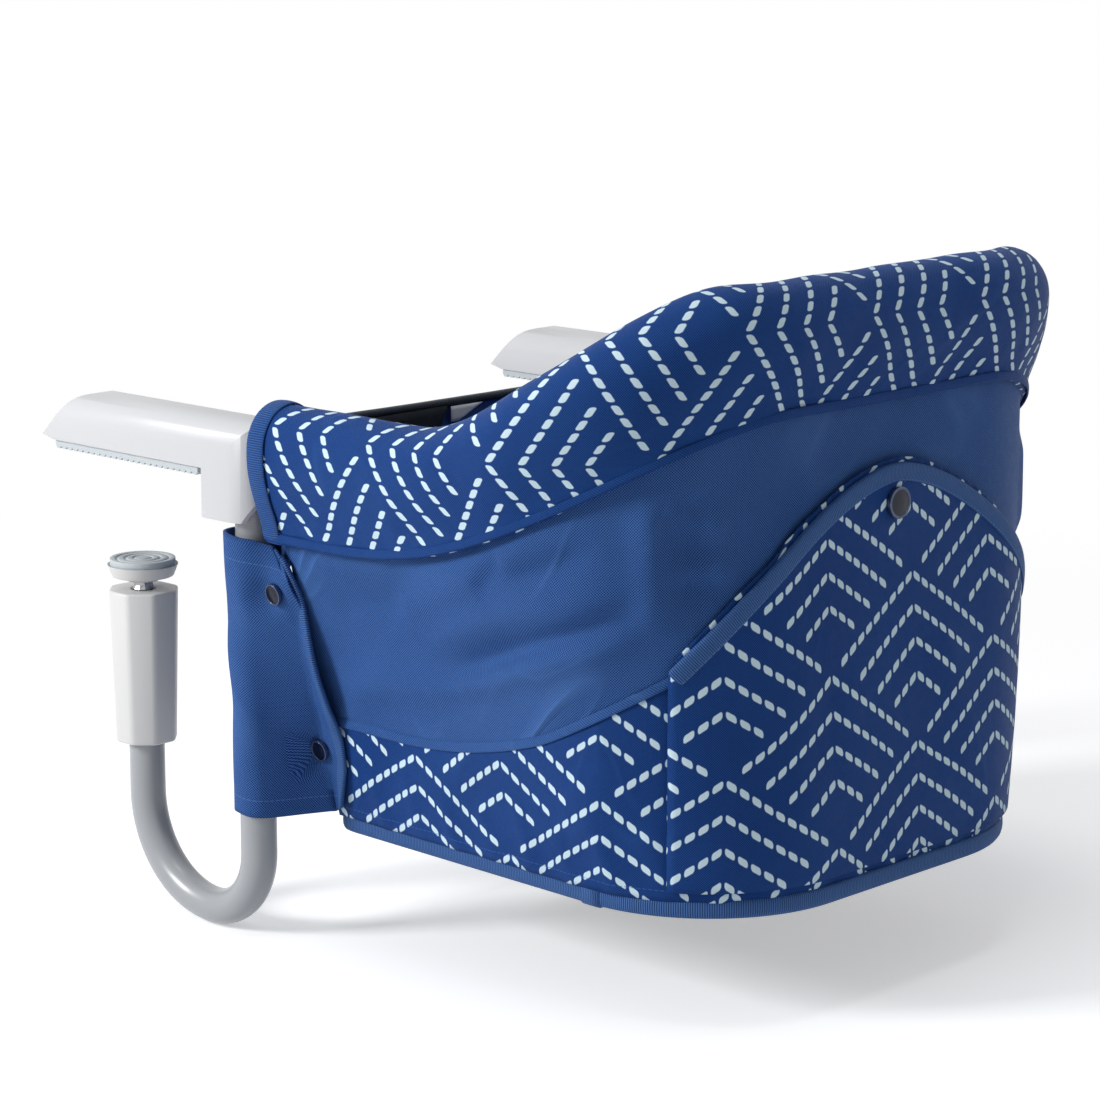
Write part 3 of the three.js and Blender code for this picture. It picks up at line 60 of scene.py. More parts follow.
def between(places, values, at):
    for i in range(len(places) - 1):
        if (places[i] - at) * (places[i + 1] - at) <= 0:
            break
    else:
        i = 0 if abs(at - places[0]) < abs(at - places[-1]) else len(places) - 2
    share = clamp((at - places[i]) / (places[i + 1] - places[i]))
    return lerp(values[i], values[i + 1], share)


# A finer line through points, closed or open
def curved(points, steps, closed=False):
    count = len(points)
    made = []
    last = count if closed else count - 1
    for i in range(last):
        if closed:
            a, b, c, d = (points[(i + k) % count] for k in (-1, 0, 1, 2))
        else:
            a, b, c, d = (points[int(clamp(i + k, 0, count - 1))] for k in (-1, 0, 1, 2))
        for step in range(steps):
            t = step / steps
            made.append(0.5 * (2 * b + (c - a) * t + (2 * a - 5 * b + 4 * c - d) * t ** 2
                               + (3 * b - a - 3 * c + d) * t ** 3))
    if not closed:
        made.append(points[-1].copy())
    return made


def runs(points, closed=False):
    made = [0.0]
    for i in range(1, len(points) + (1 if closed else 0)):
        made.append(made[-1] + (points[i % len(points)] - points[i - 1]).length)
    return made


# Making pieces in mesh code: cloth and what follows it

clothUnit = 100.0   # millimetres of cloth to one unit of its UV map


# A place on the cloth, with the cloth pulled a little out of true
def warped(u, v, amount=1.6):
    spot = Vector((u, v, 0)) / 48
    return u + amount * noise.noise(spot), v + amount * noise.noise(spot + Vector((7, 3, 5)))



def meshPiece(name, points, faces, corners, material):
    mesh = bpy.data.meshes.new(name)
    mesh.from_pydata([Vector(p) * mm for p in points], [], faces)
    layer = mesh.uv_layers.new(name="cloth")
    flat = [spot for corner in corners for spot in corner]
    for loop, (u, v) in enumerate(flat):
        layer.data[loop].uv = (u / clothUnit, v / clothUnit)
    mesh.polygons.foreach_set("use_smooth", [True] * len(mesh.polygons))
    mesh.materials.append(material)
    mesh.update()
    piece = bpy.data.objects.new(name, mesh)
    bpy.context.scene.collection.objects.link(piece)
    return piece


# Rows of points as a skin. A ring's rows close on themselves, and have one more place on the cloth.
def skin(name, rows, cloth, material, ring=False, ends=()):
    columns = len(rows[0])
    points = [p for row in rows for p in row]
    faces = []
    corners = []
    for i in range(len(rows) - 1):
        for j in range(columns if ring else columns - 1):
            k = (j + 1) % columns
            faces.append((i * columns + j, i * columns + k, (i + 1) * columns + k,
                          (i + 1) * columns + j))
            corners.append((cloth[i][j], cloth[i][j + 1], cloth[i + 1][j + 1], cloth[i + 1][j]))
    for end in ends:
        row = 0 if end == "first" else len(rows) - 1
        loop = [row * columns + j for j in range(columns)]
        spots = [cloth[row][j] for j in range(columns)]
        if end == "first":
            loop.reverse()
            spots.reverse()
        faces.append(loop)
        corners.append(spots)
    return meshPiece(name, points, faces, corners, material)


# A tape or strap: its section is swept along stations of (place, outwards, upwards)
def swept(name, stations, section, material, closed=False, perStation=None):
    run = runs([place for place, out, up in stations], closed)
    rows = []
    cloth = []
    around = runs([Vector((a, b, 0)) for a, b in section], True)
    for i, (place, out, up) in enumerate(stations):
        shape = perStation(i, section) if perStation else section
        rows.append([place + out * a + up * b for a, b in shape])
        cloth.append([(run[i], v) for v in around])
    if closed:
        rows.append(rows[0])
        cloth.append([(run[-1], v) for v in around])
    piece = skin(name, rows, cloth, material, ring=True, ends=() if closed else ("first", "last"))
    if closed:
        weld(piece)
    faceOut(piece)
    return piece


def weld(piece, reach=0.01):
    work = bmesh.new()
    work.from_mesh(piece.data)
    bmesh.ops.remove_doubles(work, verts=work.verts, dist=reach * mm)
    work.to_mesh(piece.data)
    work.free()


def faceOut(piece):
    work = bmesh.new()
    work.from_mesh(piece.data)
    bmesh.ops.recalc_face_normals(work, faces=work.faces)
    work.to_mesh(piece.data)
    work.free()
    piece.data.update()


# An open cloth's outer side is the one away from the pivot
def outerSide(piece, pivot):
    lean = sum((face.center.xy - Vector(pivot) * mm).dot(face.normal.xy) * face.area
               for face in piece.data.polygons)
    if lean < 0:
        piece.data.flip_normals()


# Moves each point along its own normal by what the field gives in millimetres
def pushed(piece, field):
    for vertex, normal in [(v, v.normal.copy()) for v in piece.data.vertices]:
        vertex.co += normal * field(vertex.co / mm, normal) * mm
    piece.data.update()


def thickened(piece, thickness, offset):
    wall = piece.modifiers.new("thickness", "SOLIDIFY")
    wall.thickness = thickness * mm
    wall.offset = offset
    wall.use_even_offset = True
    return piece


def subdivided(piece, levels=1):
    finer = piece.modifiers.new("finer", "SUBSURF")
    finer.levels = levels
    finer.render_levels = levels
    return piece


def flippedOver(piece, name):
    mesh = piece.data.copy()
    mesh.name = name
    other = bpy.data.objects.new(name, mesh)
    bpy.context.scene.collection.objects.link(other)
    mesh.transform(Matrix.Scale(-1, 4, (1, 0, 0)))
    mesh.flip_normals()
    for modifier in piece.modifiers:
        copy = other.modifiers.new(modifier.name, modifier.type)
        for key in ("thickness", "offset", "use_even_offset", "levels", "render_levels", "width",
                    "segments"):
            if hasattr(modifier, key):
                setattr(copy, key, getattr(modifier, key))
    return other


# Making pieces with Blender's own tools: what is moulded, bent or turned

def onlyThis(piece):
    if bpy.context.object and bpy.context.object.mode != "OBJECT":
        bpy.ops.object.mode_set(mode="OBJECT")
    bpy.ops.object.select_all(action="DESELECT")
    piece.select_set(True)
    bpy.context.view_layer.objects.active = piece


def settled(piece, name, material=None):
    piece.name = name
    piece.data.name = name
    onlyThis(piece)
    bpy.ops.object.transform_apply(location=True, rotation=True, scale=True)
    if material:
        piece.data.materials.clear()
        piece.data.materials.append(material)
    return piece


def box(name, low, high, material=None):
    low, high = Vector(low) * mm, Vector(high) * mm
    bpy.ops.object.select_all(action="DESELECT")
    bpy.ops.mesh.primitive_cube_add(size=1, location=(low + high) / 2, scale=high - low)
    return settled(bpy.context.object, name, material)


def rod(name, radius, start, end, sides=48, material=None):
    start, end = Vector(start) * mm, Vector(end) * mm
    way = end - start
    bpy.ops.object.select_all(action="DESELECT")
    bpy.ops.mesh.primitive_cylinder_add(vertices=sides, radius=radius * mm, depth=way.length,
                                        location=(start + end) / 2,
                                        rotation=way.to_track_quat("Z", "Y").to_euler())
    return settled(bpy.context.object, name, material)


def editing(piece, mode):
    onlyThis(piece)
    bpy.ops.object.mode_set(mode="EDIT")
    bpy.ops.mesh.select_mode(type=mode)
    bpy.ops.mesh.select_all(action="DESELECT")
    return bmesh.from_edit_mesh(piece.data)


def pickEdges(piece, test):
    work = editing(piece, "EDGE")
    for edge in work.edges:
        a, b = (v.co / mm for v in edge.verts)
        if test(a, b):
            edge.select_set(True)
    bmesh.update_edit_mesh(piece.data)


def pickFaces(piece, test):
    work = editing(piece, "FACE")
    for face in work.faces:
        if test(face.calc_center_median() / mm, face.normal):
            face.select_set(True)
    bmesh.update_edit_mesh(piece.data)


def rounded(piece, test, width, segments):
    pickEdges(piece, test)
    bpy.ops.mesh.bevel(offset=width * mm, segments=segments, affect="EDGES")
    bpy.ops.object.mode_set(mode="OBJECT")


def slicedOff(piece, point, normal):
    onlyThis(piece)
    bpy.ops.object.mode_set(mode="EDIT")
    bpy.ops.mesh.select_all(action="SELECT")
    bpy.ops.mesh.bisect(plane_co=Vector(point) * mm, plane_no=normal, use_fill=True,
                        clear_outer=True)
    bpy.ops.object.mode_set(mode="OBJECT")


def combined(piece, tool, operation="DIFFERENCE"):
    onlyThis(piece)
    change = piece.modifiers.new("change", "BOOLEAN")
    change.operation = operation
    change.object = tool
    change.solver = "EXACT"
    bpy.ops.object.modifier_apply(modifier=change.name)
    bpy.data.objects.remove(tool, do_unlink=True)


def softEdges(piece, width, segments=2, angle=35):
    onlyThis(piece)
    edges = piece.modifiers.new("edges", "BEVEL")
    edges.width = width * mm
    edges.segments = segments
    edges.limit_method = "ANGLE"
    edges.angle_limit = math.radians(angle)
    edges.use_clamp_overlap = True
    bpy.ops.object.modifier_apply(modifier=edges.name)
    bpy.ops.object.shade_smooth_by_angle(angle=math.radians(40))


def standsFor(piece, nodes, body):
    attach(piece, body)
    if nodes:
        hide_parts(*nodes)
    return piece


# Node trees

def feed(tree, node, socket, source):
    if isinstance(source, bpy.types.NodeSocket):
        tree.links.new(source, node.inputs[socket])
    else:
        node.inputs[socket].default_value = source


def put(tree, kind, settings=None, inputs=None):
    node = tree.nodes.new(kind)
    for key, value in (settings or {}).items():
        setattr(node, key, value)
    for socket, source in (inputs or {}).items():
        feed(tree, node, socket, source)
    return node


def calc(tree, operation, *sources):
    node = put(tree, "ShaderNodeMath", {"operation": operation})
    for socket, source in enumerate(sources):
        feed(tree, node, socket, source)
    return node.outputs[0]


def effect(name, inputs, outputs):
    tree = bpy.data.node_groups.new(name, "ShaderNodeTree")
    for label, kind, value in inputs:
        socket = tree.interface.new_socket(label, in_out="INPUT", socket_type=kind)
        if value is not None:
            socket.default_value = value
    for label in outputs:
        tree.interface.new_socket(label, in_out="OUTPUT", socket_type="NodeSocketFloat")
    return tree, tree.nodes.new("NodeGroupInput").outputs, tree.nodes.new("NodeGroupOutput")


def use(tree, group, **inputs):
    node = put(tree, "ShaderNodeGroup", {"node_tree": group})
    for label, source in inputs.items():
        feed(tree, node, label, source)
    return node.outputs


def blendColours(tree, share, first, second, mode="MIX"):
    node = put(tree, "ShaderNodeMix", {"data_type": "RGBA", "blend_type": mode})
    feed(tree, node, 0, share)
    feed(tree, node, 6, first)
    feed(tree, node, 7, second)
    return node.outputs[2]


def colour(red, green, blue):
    def linear(value):
        value = value / 255
        return value / 12.92 if value <= 0.04045 else ((value + 0.055) / 1.055) ** 2.4
    return (linear(red), linear(green), linear(blue), 1.0)


# Effects that several materials share

# Plain weave: a small bump for each crossing, and every other crossing mixed lighter, a painted
# glint of threads facing the light
def makeWeave():
    tree, given, result = effect("weave", [
        ("Place", "NodeSocketVector", None), ("Pitch", "NodeSocketFloat", 0.6)], ["Height", "Tone"])
    scale = calc(tree, "DIVIDE", 1.0, given["Pitch"])
    place = put(tree, "ShaderNodeVectorMath", {"operation": "SCALE"}, {0: given["Place"], 3: scale})
    parts = put(tree, "ShaderNodeSeparateXYZ", None, {0: place.outputs[0]}).outputs
    bumps = [calc(tree, "ABSOLUTE", calc(tree, "SINE", calc(tree, "MULTIPLY", part, math.pi)))
             for part in parts[:2]]
    feed(tree, result, "Height", calc(tree, "MULTIPLY", *bumps))
    turns = calc(tree, "ADD", *[calc(tree, "FLOOR", part) for part in parts[:2]])
    feed(tree, result, "Tone", calc(tree, "FLOORED_MODULO", turns, 2.0))
    return tree


# Fine ribs across a tape's length; their height also paints highlights on the crests
def makeRibs():
    tree, given, result = effect("tapeRibs", [
        ("Place", "NodeSocketVector", None), ("Pitch", "NodeSocketFloat", 1.0)], ["Height"])
    along = put(tree, "ShaderNodeSeparateXYZ", None, {0: given["Place"]}).outputs[0]
    turn = calc(tree, "DIVIDE", calc(tree, "MULTIPLY", along, math.pi), given["Pitch"])
    feed(tree, result, "Height", calc(tree, "ABSOLUTE", calc(tree, "SINE", turn)))
    return tree


# A row of stitches along a tape or a hem, at a given distance across it
def makeStitches():
    tree, given, result = effect("stitches", [
        ("Place", "NodeSocketVector", None), ("Line", "NodeSocketFloat", 2.0),
        ("Length", "NodeSocketFloat", 2.2), ("Pitch", "NodeSocketFloat", 3.0),
        ("Width", "NodeSocketFloat", 0.5)], ["Mask"])
    parts = put(tree, "ShaderNodeSeparateXYZ", None, {0: given["Place"]}).outputs
    share = calc(tree, "DIVIDE", parts[0], given["Pitch"])
    inPitch = calc(tree, "ABSOLUTE", calc(tree, "SUBTRACT", share, calc(tree, "ROUND", share)))
    along = calc(tree, "LESS_THAN", calc(tree, "MULTIPLY", inPitch, given["Pitch"]),
                 calc(tree, "MULTIPLY", given["Length"], 0.5))
    away = calc(tree, "ABSOLUTE", calc(tree, "SUBTRACT", parts[1], given["Line"]))
    across = calc(tree, "LESS_THAN", away, calc(tree, "MULTIPLY", given["Width"], 0.5))
    feed(tree, result, "Mask", calc(tree, "MULTIPLY", along, across))
    return tree


# Creases in worn cloth: soft swells and a few sharp ridges, both drawn out along the diagonal. The
# ridge mask also paints highlights on the crests.
def makeCreases():
    tree, given, result = effect("creases", [("Place", "NodeSocketVector", None)],
                                 ["Height", "Ridge"])
    parts = put(tree, "ShaderNodeSeparateXYZ", None, {0: given["Place"]}).outputs
    side = calc(tree, "ABSOLUTE", parts[0])
    along = calc(tree, "MULTIPLY", calc(tree, "SUBTRACT", side, parts[1]), 0.007)
    across = calc(tree, "MULTIPLY", calc(tree, "ADD", side, parts[1]), 0.014)
    where = put(tree, "ShaderNodeCombineXYZ", None, {0: along, 1: across}).outputs[0]
    swell = put(tree, "ShaderNodeTexNoise", None,
                {"Vector": where, "Scale": 1.0, "Detail": 0.5, "Distortion": 0.3})
    fine = put(tree, "ShaderNodeTexNoise", None,
               {"Vector": where, "Scale": 1.3, "Detail": 0.6, "Distortion": 0.7})
    fold = calc(tree, "ABSOLUTE", calc(tree, "SUBTRACT", fine.outputs[0], 0.5))
    ridge = calc(tree, "MAXIMUM", calc(tree, "SUBTRACT", 1.0, calc(tree, "MULTIPLY", fold, 16.0)),
                 0.0)
    some = calc(tree, "MAXIMUM",
                calc(tree, "MULTIPLY", calc(tree, "SUBTRACT", swell.outputs[0], 0.5), 5.0), 0.0)
    ridge = calc(tree, "MULTIPLY", ridge, calc(tree, "MINIMUM", some, 1.0))
    feed(tree, result, "Ridge", ridge)
    feed(tree, result, "Height", calc(tree, "ADD", calc(tree, "MULTIPLY", swell.outputs[0], 9.0),
                                      ridge))
    return tree


# The printed cloth: nested chevrons of short rounded dashes, in a lattice of diamonds
printShape = {
    "halfAcross": 64.0, "halfUp": 42.5, "rows": 17.0, "lastRow": 3.0, "firstRow": 2.4,
    "dashLength": 5.7, "dashWidth": 3.25, "dashPitch": 7.6, "dashCorner": 1.35, "clear": 11.0,
    "edge": 0.2,
}


def makeDashPrint():
    shape = printShape
    tree, given, result = effect("dashPrint", [("Place", "NodeSocketVector", None)], ["Mask"])
    parts = put(tree, "ShaderNodeSeparateXYZ", None, {0: given["Place"]}).outputs
    a, b = shape["halfAcross"], shape["halfUp"]
    slope = math.atan2(b, a)
    across = calc(tree, "DIVIDE", parts[0], 2 * a)
    up = calc(tree, "DIVIDE", parts[1], 2 * b)
    p = calc(tree, "ADD", across, up)
    q = calc(tree, "SUBTRACT", across, up)
    p = calc(tree, "SUBTRACT", p, calc(tree, "ROUND", p))
    q = calc(tree, "SUBTRACT", q, calc(tree, "ROUND", q))
    side = calc(tree, "ABSOLUTE", calc(tree, "MULTIPLY", calc(tree, "ADD", p, q), a))
    rise = calc(tree, "MULTIPLY", calc(tree, "SUBTRACT", p, q), b)
    # Distance under the diamond's upper edges, and the chevron that is nearest to it
    drop = calc(tree, "SUBTRACT", calc(tree, "SUBTRACT", b - shape["firstRow"], rise),
                calc(tree, "MULTIPLY", side, b / a))
    row = calc(tree, "ROUND", calc(tree, "DIVIDE", drop, shape["rows"]))
    row = calc(tree, "MINIMUM", calc(tree, "MAXIMUM", row, 0.0), shape["lastRow"])
    off = calc(tree, "MULTIPLY",
               calc(tree, "SUBTRACT", drop, calc(tree, "MULTIPLY", row, shape["rows"])),
               math.cos(slope))
    leg = calc(tree, "DIVIDE", side, math.cos(slope) * shape["dashPitch"])
    middle = calc(tree, "ADD", calc(tree, "FLOOR", leg), 0.5)
    along = calc(tree, "MULTIPLY", calc(tree, "SUBTRACT", leg, middle), shape["dashPitch"])
    corner = shape["dashCorner"]
    reach = [calc(tree, "MAXIMUM", calc(tree, "SUBTRACT", calc(tree, "ABSOLUTE", value),
                                        half - corner), 0.0)
             for value, half in ((along, shape["dashLength"] / 2), (off, shape["dashWidth"] / 2))]
    away = calc(tree, "SQRT",
                calc(tree, "ADD", *[calc(tree, "MULTIPLY", value, value) for value in reach]))
    edge = shape["edge"]
    mask = calc(tree, "DIVIDE", calc(tree, "SUBTRACT", corner + edge, away), 2 * edge)
    mask = calc(tree, "MINIMUM", calc(tree, "MAXIMUM", mask, 0.0), 1.0)
    # A chevron stops short of the line of the next diamond
    left = calc(tree, "SUBTRACT", 2 * b,
                calc(tree, "ADD", calc(tree, "MULTIPLY", row, shape["rows"]),
                calc(tree, "MULTIPLY", middle, 2 * b / a * shape["dashPitch"] * math.cos(slope))))
    feed(tree, result, "Mask",
         calc(tree, "MULTIPLY", mask, calc(tree, "GREATER_THAN", left, shape["clear"])))
    return tree


# Uneven tone over a surface: large noise blotches, which woven cloth uses as painted light on soft
# folds, down to fine grain
def makeMottle():
    tree, given, result = effect("mottle", [
        ("Place", "NodeSocketVector", None), ("Broad", "NodeSocketFloat", 12.0),
        ("Fine", "NodeSocketFloat", 220.0)], ["Value", "Grain"])
    for label, size, detail in (("Value", "Broad", 3.0), ("Grain", "Fine", 2.0)):
        cloud = put(tree, "ShaderNodeTexNoise", None,
                    {"Vector": given["Place"], "Scale": given[size], "Detail": detail})
        feed(tree, result, label, cloud.outputs[0])
    return tree


# Handling marks on hard parts: lighter at worn edges, dull where fingers touch
def makeHandling():
    tree, given, result = effect("handling", [
        ("Place", "NodeSocketVector", None), ("Wear", "NodeSocketFloat", 0.5)],
        ["Edge", "Smudge", "Grain"])
    point = put(tree, "ShaderNodeNewGeometry").outputs["Pointiness"]
    cloud = put(tree, "ShaderNodeTexNoise", None,
                {"Vector": given["Place"], "Scale": 55.0, "Detail": 4.0})
    sharp = calc(tree, "MULTIPLY", calc(tree, "SUBTRACT", point, 0.53), 9.0)
    broken = calc(tree, "MULTIPLY", calc(tree, "MAXIMUM", sharp, 0.0), cloud.outputs[0])
    feed(tree, result, "Edge", calc(tree, "MINIMUM", calc(tree, "MULTIPLY", broken, given["Wear"]),
                                    1.0))
    smudge = put(tree, "ShaderNodeTexNoise", None,
                 {"Vector": given["Place"], "Scale": 18.0, "Detail": 5.0})
    feed(tree, result, "Smudge", smudge.outputs[0])
    grain = put(tree, "ShaderNodeTexNoise", None,
                {"Vector": given["Place"], "Scale": 900.0, "Detail": 2.0})
    feed(tree, result, "Grain", grain.outputs[0])
    return tree


weaveGroup = makeWeave()
ribsGroup = makeRibs()
stitchGroup = makeStitches()
creaseGroup = makeCreases()
printGroup = makeDashPrint()
mottleGroup = makeMottle()
handlingGroup = makeHandling()
print("shared effects made")


# Materials

def newMaterial(name, settings):
    material = bpy.data.materials.new(name)
    material.use_nodes = True
    tree = material.node_tree
    shader = tree.nodes["Principled BSDF"]
    for socket, value in settings.items():
        shader.inputs[socket].default_value = value
    return material, tree, shader


def clothPlace(tree):
    spot = put(tree, "ShaderNodeUVMap", {"uv_map": "cloth"})
    return put(tree, "ShaderNodeVectorMath", {"operation": "SCALE"},
               {0: spot.outputs[0], 3: clothUnit}).outputs[0]


def objectPlace(tree):
    return put(tree, "ShaderNodeTexCoord").outputs["Object"]


def bumped(tree, shader, height, strength, distance):
    bump = put(tree, "ShaderNodeBump", None,
               {"Height": height, "Strength": strength, "Distance": distance})
    feed(tree, shader, "Normal", bump.outputs[0])


# The Light colours are lit tones of the cloth: they paint thread glints, crease and rib highlights
# and light on soft folds, and are also the colour of the stitching
clothLooks = {
    "deep": colour(9, 45, 108), "deepLight": colour(62, 108, 180), "dash": colour(214, 238, 250),
    "plain": colour(10, 47, 110), "plainLight": colour(94, 138, 204), "tape": colour(8, 38, 92),
    "black": colour(24, 25, 28), "white": colour(226, 229, 232), "strap": colour(33, 38, 48),
    "glint": colour(160, 205, 255), "threadPitch": 0.68, "printPitch": 0.6,
}


# Woven cloth, plain or printed. Its sheen and roughness are the same all over.
def clothMaterial(name, dark, light, printed=False, pitch=None, threadGlint=0.3, creased=0.0,
                  stitchLines=()):
    looks = clothLooks
    material, tree, shader = newMaterial(name, {
        "Specular IOR Level": 0.13, "Specular Tint": looks["glint"], "IOR": 1.5})
    place = clothPlace(tree)
    woven = use(tree, weaveGroup, Place=place, Pitch=pitch or looks["threadPitch"])
    mottle = use(tree, mottleGroup, Place=objectPlace(tree))
    # Every other crossing is mixed towards the lit colour: painted glints of the threads
    base = blendColours(tree, calc(tree, "MULTIPLY", woven["Tone"], threadGlint), dark, light)
    # Large noise blotches mix the cloth towards its lit colour: painted light standing in for light
    # on soft folds
    blotchLight = calc(tree, "MULTIPLY", calc(tree, "SUBTRACT", mottle["Value"], 0.4), 0.3)
    base = blendColours(tree, calc(tree, "MAXIMUM", blotchLight, 0.0), base, light)
    roughness = calc(tree, "ADD", 0.46, calc(tree, "MULTIPLY", mottle["Grain"], 0.18))
    creases = use(tree, creaseGroup, Place=place)
    # Crease crests are mixed towards the lit colour: painted highlight
    base = blendColours(tree, calc(tree, "MULTIPLY", creases["Ridge"], 0.3 * creased), base, light)
    height = woven["Height"]
    if printed:
        mask = use(tree, printGroup, Place=place)["Mask"]
        base = blendColours(tree, mask, base, looks["dash"])
        height = calc(tree, "ADD", calc(tree, "MULTIPLY", height, 0.7),
                      calc(tree, "MULTIPLY", mask, 0.4))
    for line in stitchLines:
        stitch = use(tree, stitchGroup, Place=place, Line=line)["Mask"]
        base = blendColours(tree, calc(tree, "MULTIPLY", stitch, 0.55), base, light)
        height = calc(tree, "ADD", height, calc(tree, "MULTIPLY", stitch, 1.2))
    feed(tree, shader, "Base Color", base)
    feed(tree, shader, "Roughness", roughness)
    weave = put(tree, "ShaderNodeBump", None,
                {"Height": height, "Strength": 0.7, "Distance": 0.0003})
    crumple = put(tree, "ShaderNodeBump", None, {"Height": creases["Height"], "Strength": 1.0,
                                                 "Distance": 0.0013 * creased,
                                                 "Normal": weave.outputs[0]})
    feed(tree, shader, "Normal", crumple.outputs[0])
    return material


def tapeMaterial(name, dark, light, pitch=1.15, stitchLine=None):
    material, tree, shader = newMaterial(name, {
        "Specular IOR Level": 0.3, "Specular Tint": clothLooks["glint"], "IOR": 1.5})
    place = clothPlace(tree)
    ribs = use(tree, ribsGroup, Place=place, Pitch=pitch)["Height"]
    mottle = use(tree, mottleGroup, Place=objectPlace(tree))
    # Rib crests are mixed towards the lit colour: painted highlight on the ribs
    base = blendColours(tree, calc(tree, "MULTIPLY", ribs, 0.6), dark, light)
    height = ribs
    if stitchLine is not None:
        stitch = use(tree, stitchGroup, Place=place, Line=stitchLine, Length=2.0, Pitch=2.9,
                     Width=0.6)["Mask"]
        base = blendColours(tree, calc(tree, "MULTIPLY", stitch, 0.6), base, light)
        height = calc(tree, "ADD", height, stitch)
    feed(tree, shader, "Base Color", base)
    feed(tree, shader, "Roughness",
         calc(tree, "ADD", 0.5, calc(tree, "MULTIPLY", mottle["Grain"], 0.2)))
    bumped(tree, shader, height, 0.9, 0.00045)
    return material


# Plastic, paint, rubber and metal
def hardMaterial(name, base, roughness, wear=0.4, worn=None, grain=0.2, metallic=0.0,
                 settings=None):
    material, tree, shader = newMaterial(name, {"Metallic": metallic, **(settings or {})})
    marks = use(tree, handlingGroup, Place=objectPlace(tree), Wear=wear)
    feed(tree, shader, "Base Color", blendColours(tree, marks["Edge"], base, worn or base))
    spread = calc(tree, "MULTIPLY", calc(tree, "SUBTRACT", marks["Smudge"], 0.5), 0.22)
    feed(tree, shader, "Roughness", calc(tree, "ADD", roughness, spread))
    bumped(tree, shader, marks["Grain"], grain, 0.0001)
    return material


looks = clothLooks
printedCloth = clothMaterial("printedCloth", looks["deep"], looks["deepLight"], printed=True,
                             pitch=looks["printPitch"], threadGlint=0.35, creased=0.35)
bandCloth = clothMaterial("bandCloth", looks["deep"], looks["deepLight"], printed=True,
                          pitch=looks["printPitch"], threadGlint=0.35, creased=0.6,
                          stitchLines=(-87.0,))
plainCloth = clothMaterial("plainCloth", looks["plain"], looks["plainLight"], threadGlint=0.6,
                           creased=1.0)
flapCloth = clothMaterial("flapCloth", looks["plain"], looks["plainLight"], threadGlint=0.6,
                          creased=1.0,
                         stitchLines=(9.0, 136.0))
deepCloth = clothMaterial("deepCloth", looks["deep"], looks["deepLight"], threadGlint=0.4)
cushionCloth = clothMaterial("cushionCloth", looks["plain"], looks["plainLight"], threadGlint=0.35)
blackCloth = clothMaterial("blackCloth", looks["black"], colour(58, 60, 64), threadGlint=0.4)
liningCloth = clothMaterial("liningCloth", looks["white"], colour(246, 247, 248), threadGlint=0.3)
tapeCloth = tapeMaterial("tapeCloth", looks["tape"], looks["deepLight"])
edgeTape = tapeMaterial("edgeTape", looks["tape"], looks["plainLight"], stitchLine=2.2)
strapCloth = tapeMaterial("strapCloth", looks["strap"], colour(70, 78, 94), pitch=1.6,
                          stitchLine=3.0)
whitePlastic = hardMaterial("whitePlastic", colour(199, 200, 203), 0.34, worn=colour(184, 185, 188))
sleevePlastic = hardMaterial("sleevePlastic", colour(213, 213, 212), 0.42,
                             worn=colour(196, 196, 196))
partPlastic = hardMaterial("partPlastic", colour(206, 206, 204), 0.5)
gripRubber = hardMaterial("gripRubber", colour(186, 193, 197), 0.66, grain=0.5)
tubePaint = hardMaterial("tubePaint", colour(156, 159, 163), 0.33, worn=colour(140, 142, 146),
                         grain=0.1,
                         settings={"Coat Weight": 0.25, "Coat Roughness": 0.2})
bareSteel = hardMaterial("bareSteel", colour(176, 178, 182), 0.3, metallic=1.0, grain=0.1)
guideNylon = hardMaterial("guideNylon", colour(216, 216, 208), 0.5)
studEnamel = hardMaterial("studEnamel", colour(8, 14, 34), 0.24, wear=0.3, worn=colour(40, 48, 72),
                          grain=0.03,
                          settings={"Specular IOR Level": 0.3})
studRim = hardMaterial("studRim", colour(70, 84, 118), 0.22, metallic=0.6,
                       worn=colour(150, 160, 184), grain=0.05)
studMetal = hardMaterial("studMetal", colour(34, 38, 50), 0.28, metallic=0.6, wear=0.6,
                         worn=colour(96, 102, 116),
                         grain=0.05)
blackPlastic = hardMaterial("blackPlastic", colour(28, 29, 31), 0.4, worn=colour(70, 71, 74),
                            grain=0.4)
boardFibre = hardMaterial("boardFibre", colour(58, 66, 82), 0.8, grain=0.8)
print("materials made")


# Camera, floor and light

cameraSetup = {
    "place": (1330.2, 1351.4, 329.6), "right": (-0.6947, 0.7193, 0.0),
    "back": (0.7041, 0.6800, 0.2045), "lens": 114.545, "sensor": 36.0,
}


def makeCamera(setup=cameraSetup):
    data = bpy.data.cameras.new("camera")
    data.lens = setup["lens"]
    data.sensor_width = setup["sensor"]
    data.clip_start, data.clip_end = 0.05, 50
    camera = bpy.data.objects.new("camera", data)
    bpy.context.scene.collection.objects.link(camera)
    back = Vector(setup["back"]).normalized()
    right = Vector(setup["right"]).normalized()
    up = back.cross(right)
    turn = Matrix((right, up, back)).transposed().to_4x4()
    camera.matrix_world = Matrix.Translation(Vector(setup["place"]) * mm) @ turn
    bpy.context.scene.camera = camera


stageLooks = {
    "floorHeight": -246.0, "floorSize": 30000.0, "floor": colour(240, 241, 243), "fadeStart": 0.45,
    "fadeEnd": 1.1,
    "worldStrength": 0.25, "floorGlow": 0.42,
    # place, aim, width, height (metres), watts
    "lamps": [((1.9, -0.9, 0.9), (0.1, 0.1, -0.05), 0.6, 0.6, 42.0),
              ((0.3, 0.2, 2.4), (0.0, 0.1, -0.05), 0.9, 0.9, 15.0),
              ((-0.3, 2.6, 0.8), (0.0, 0.1, -0.05), 0.9, 0.9, 4.0)],
}


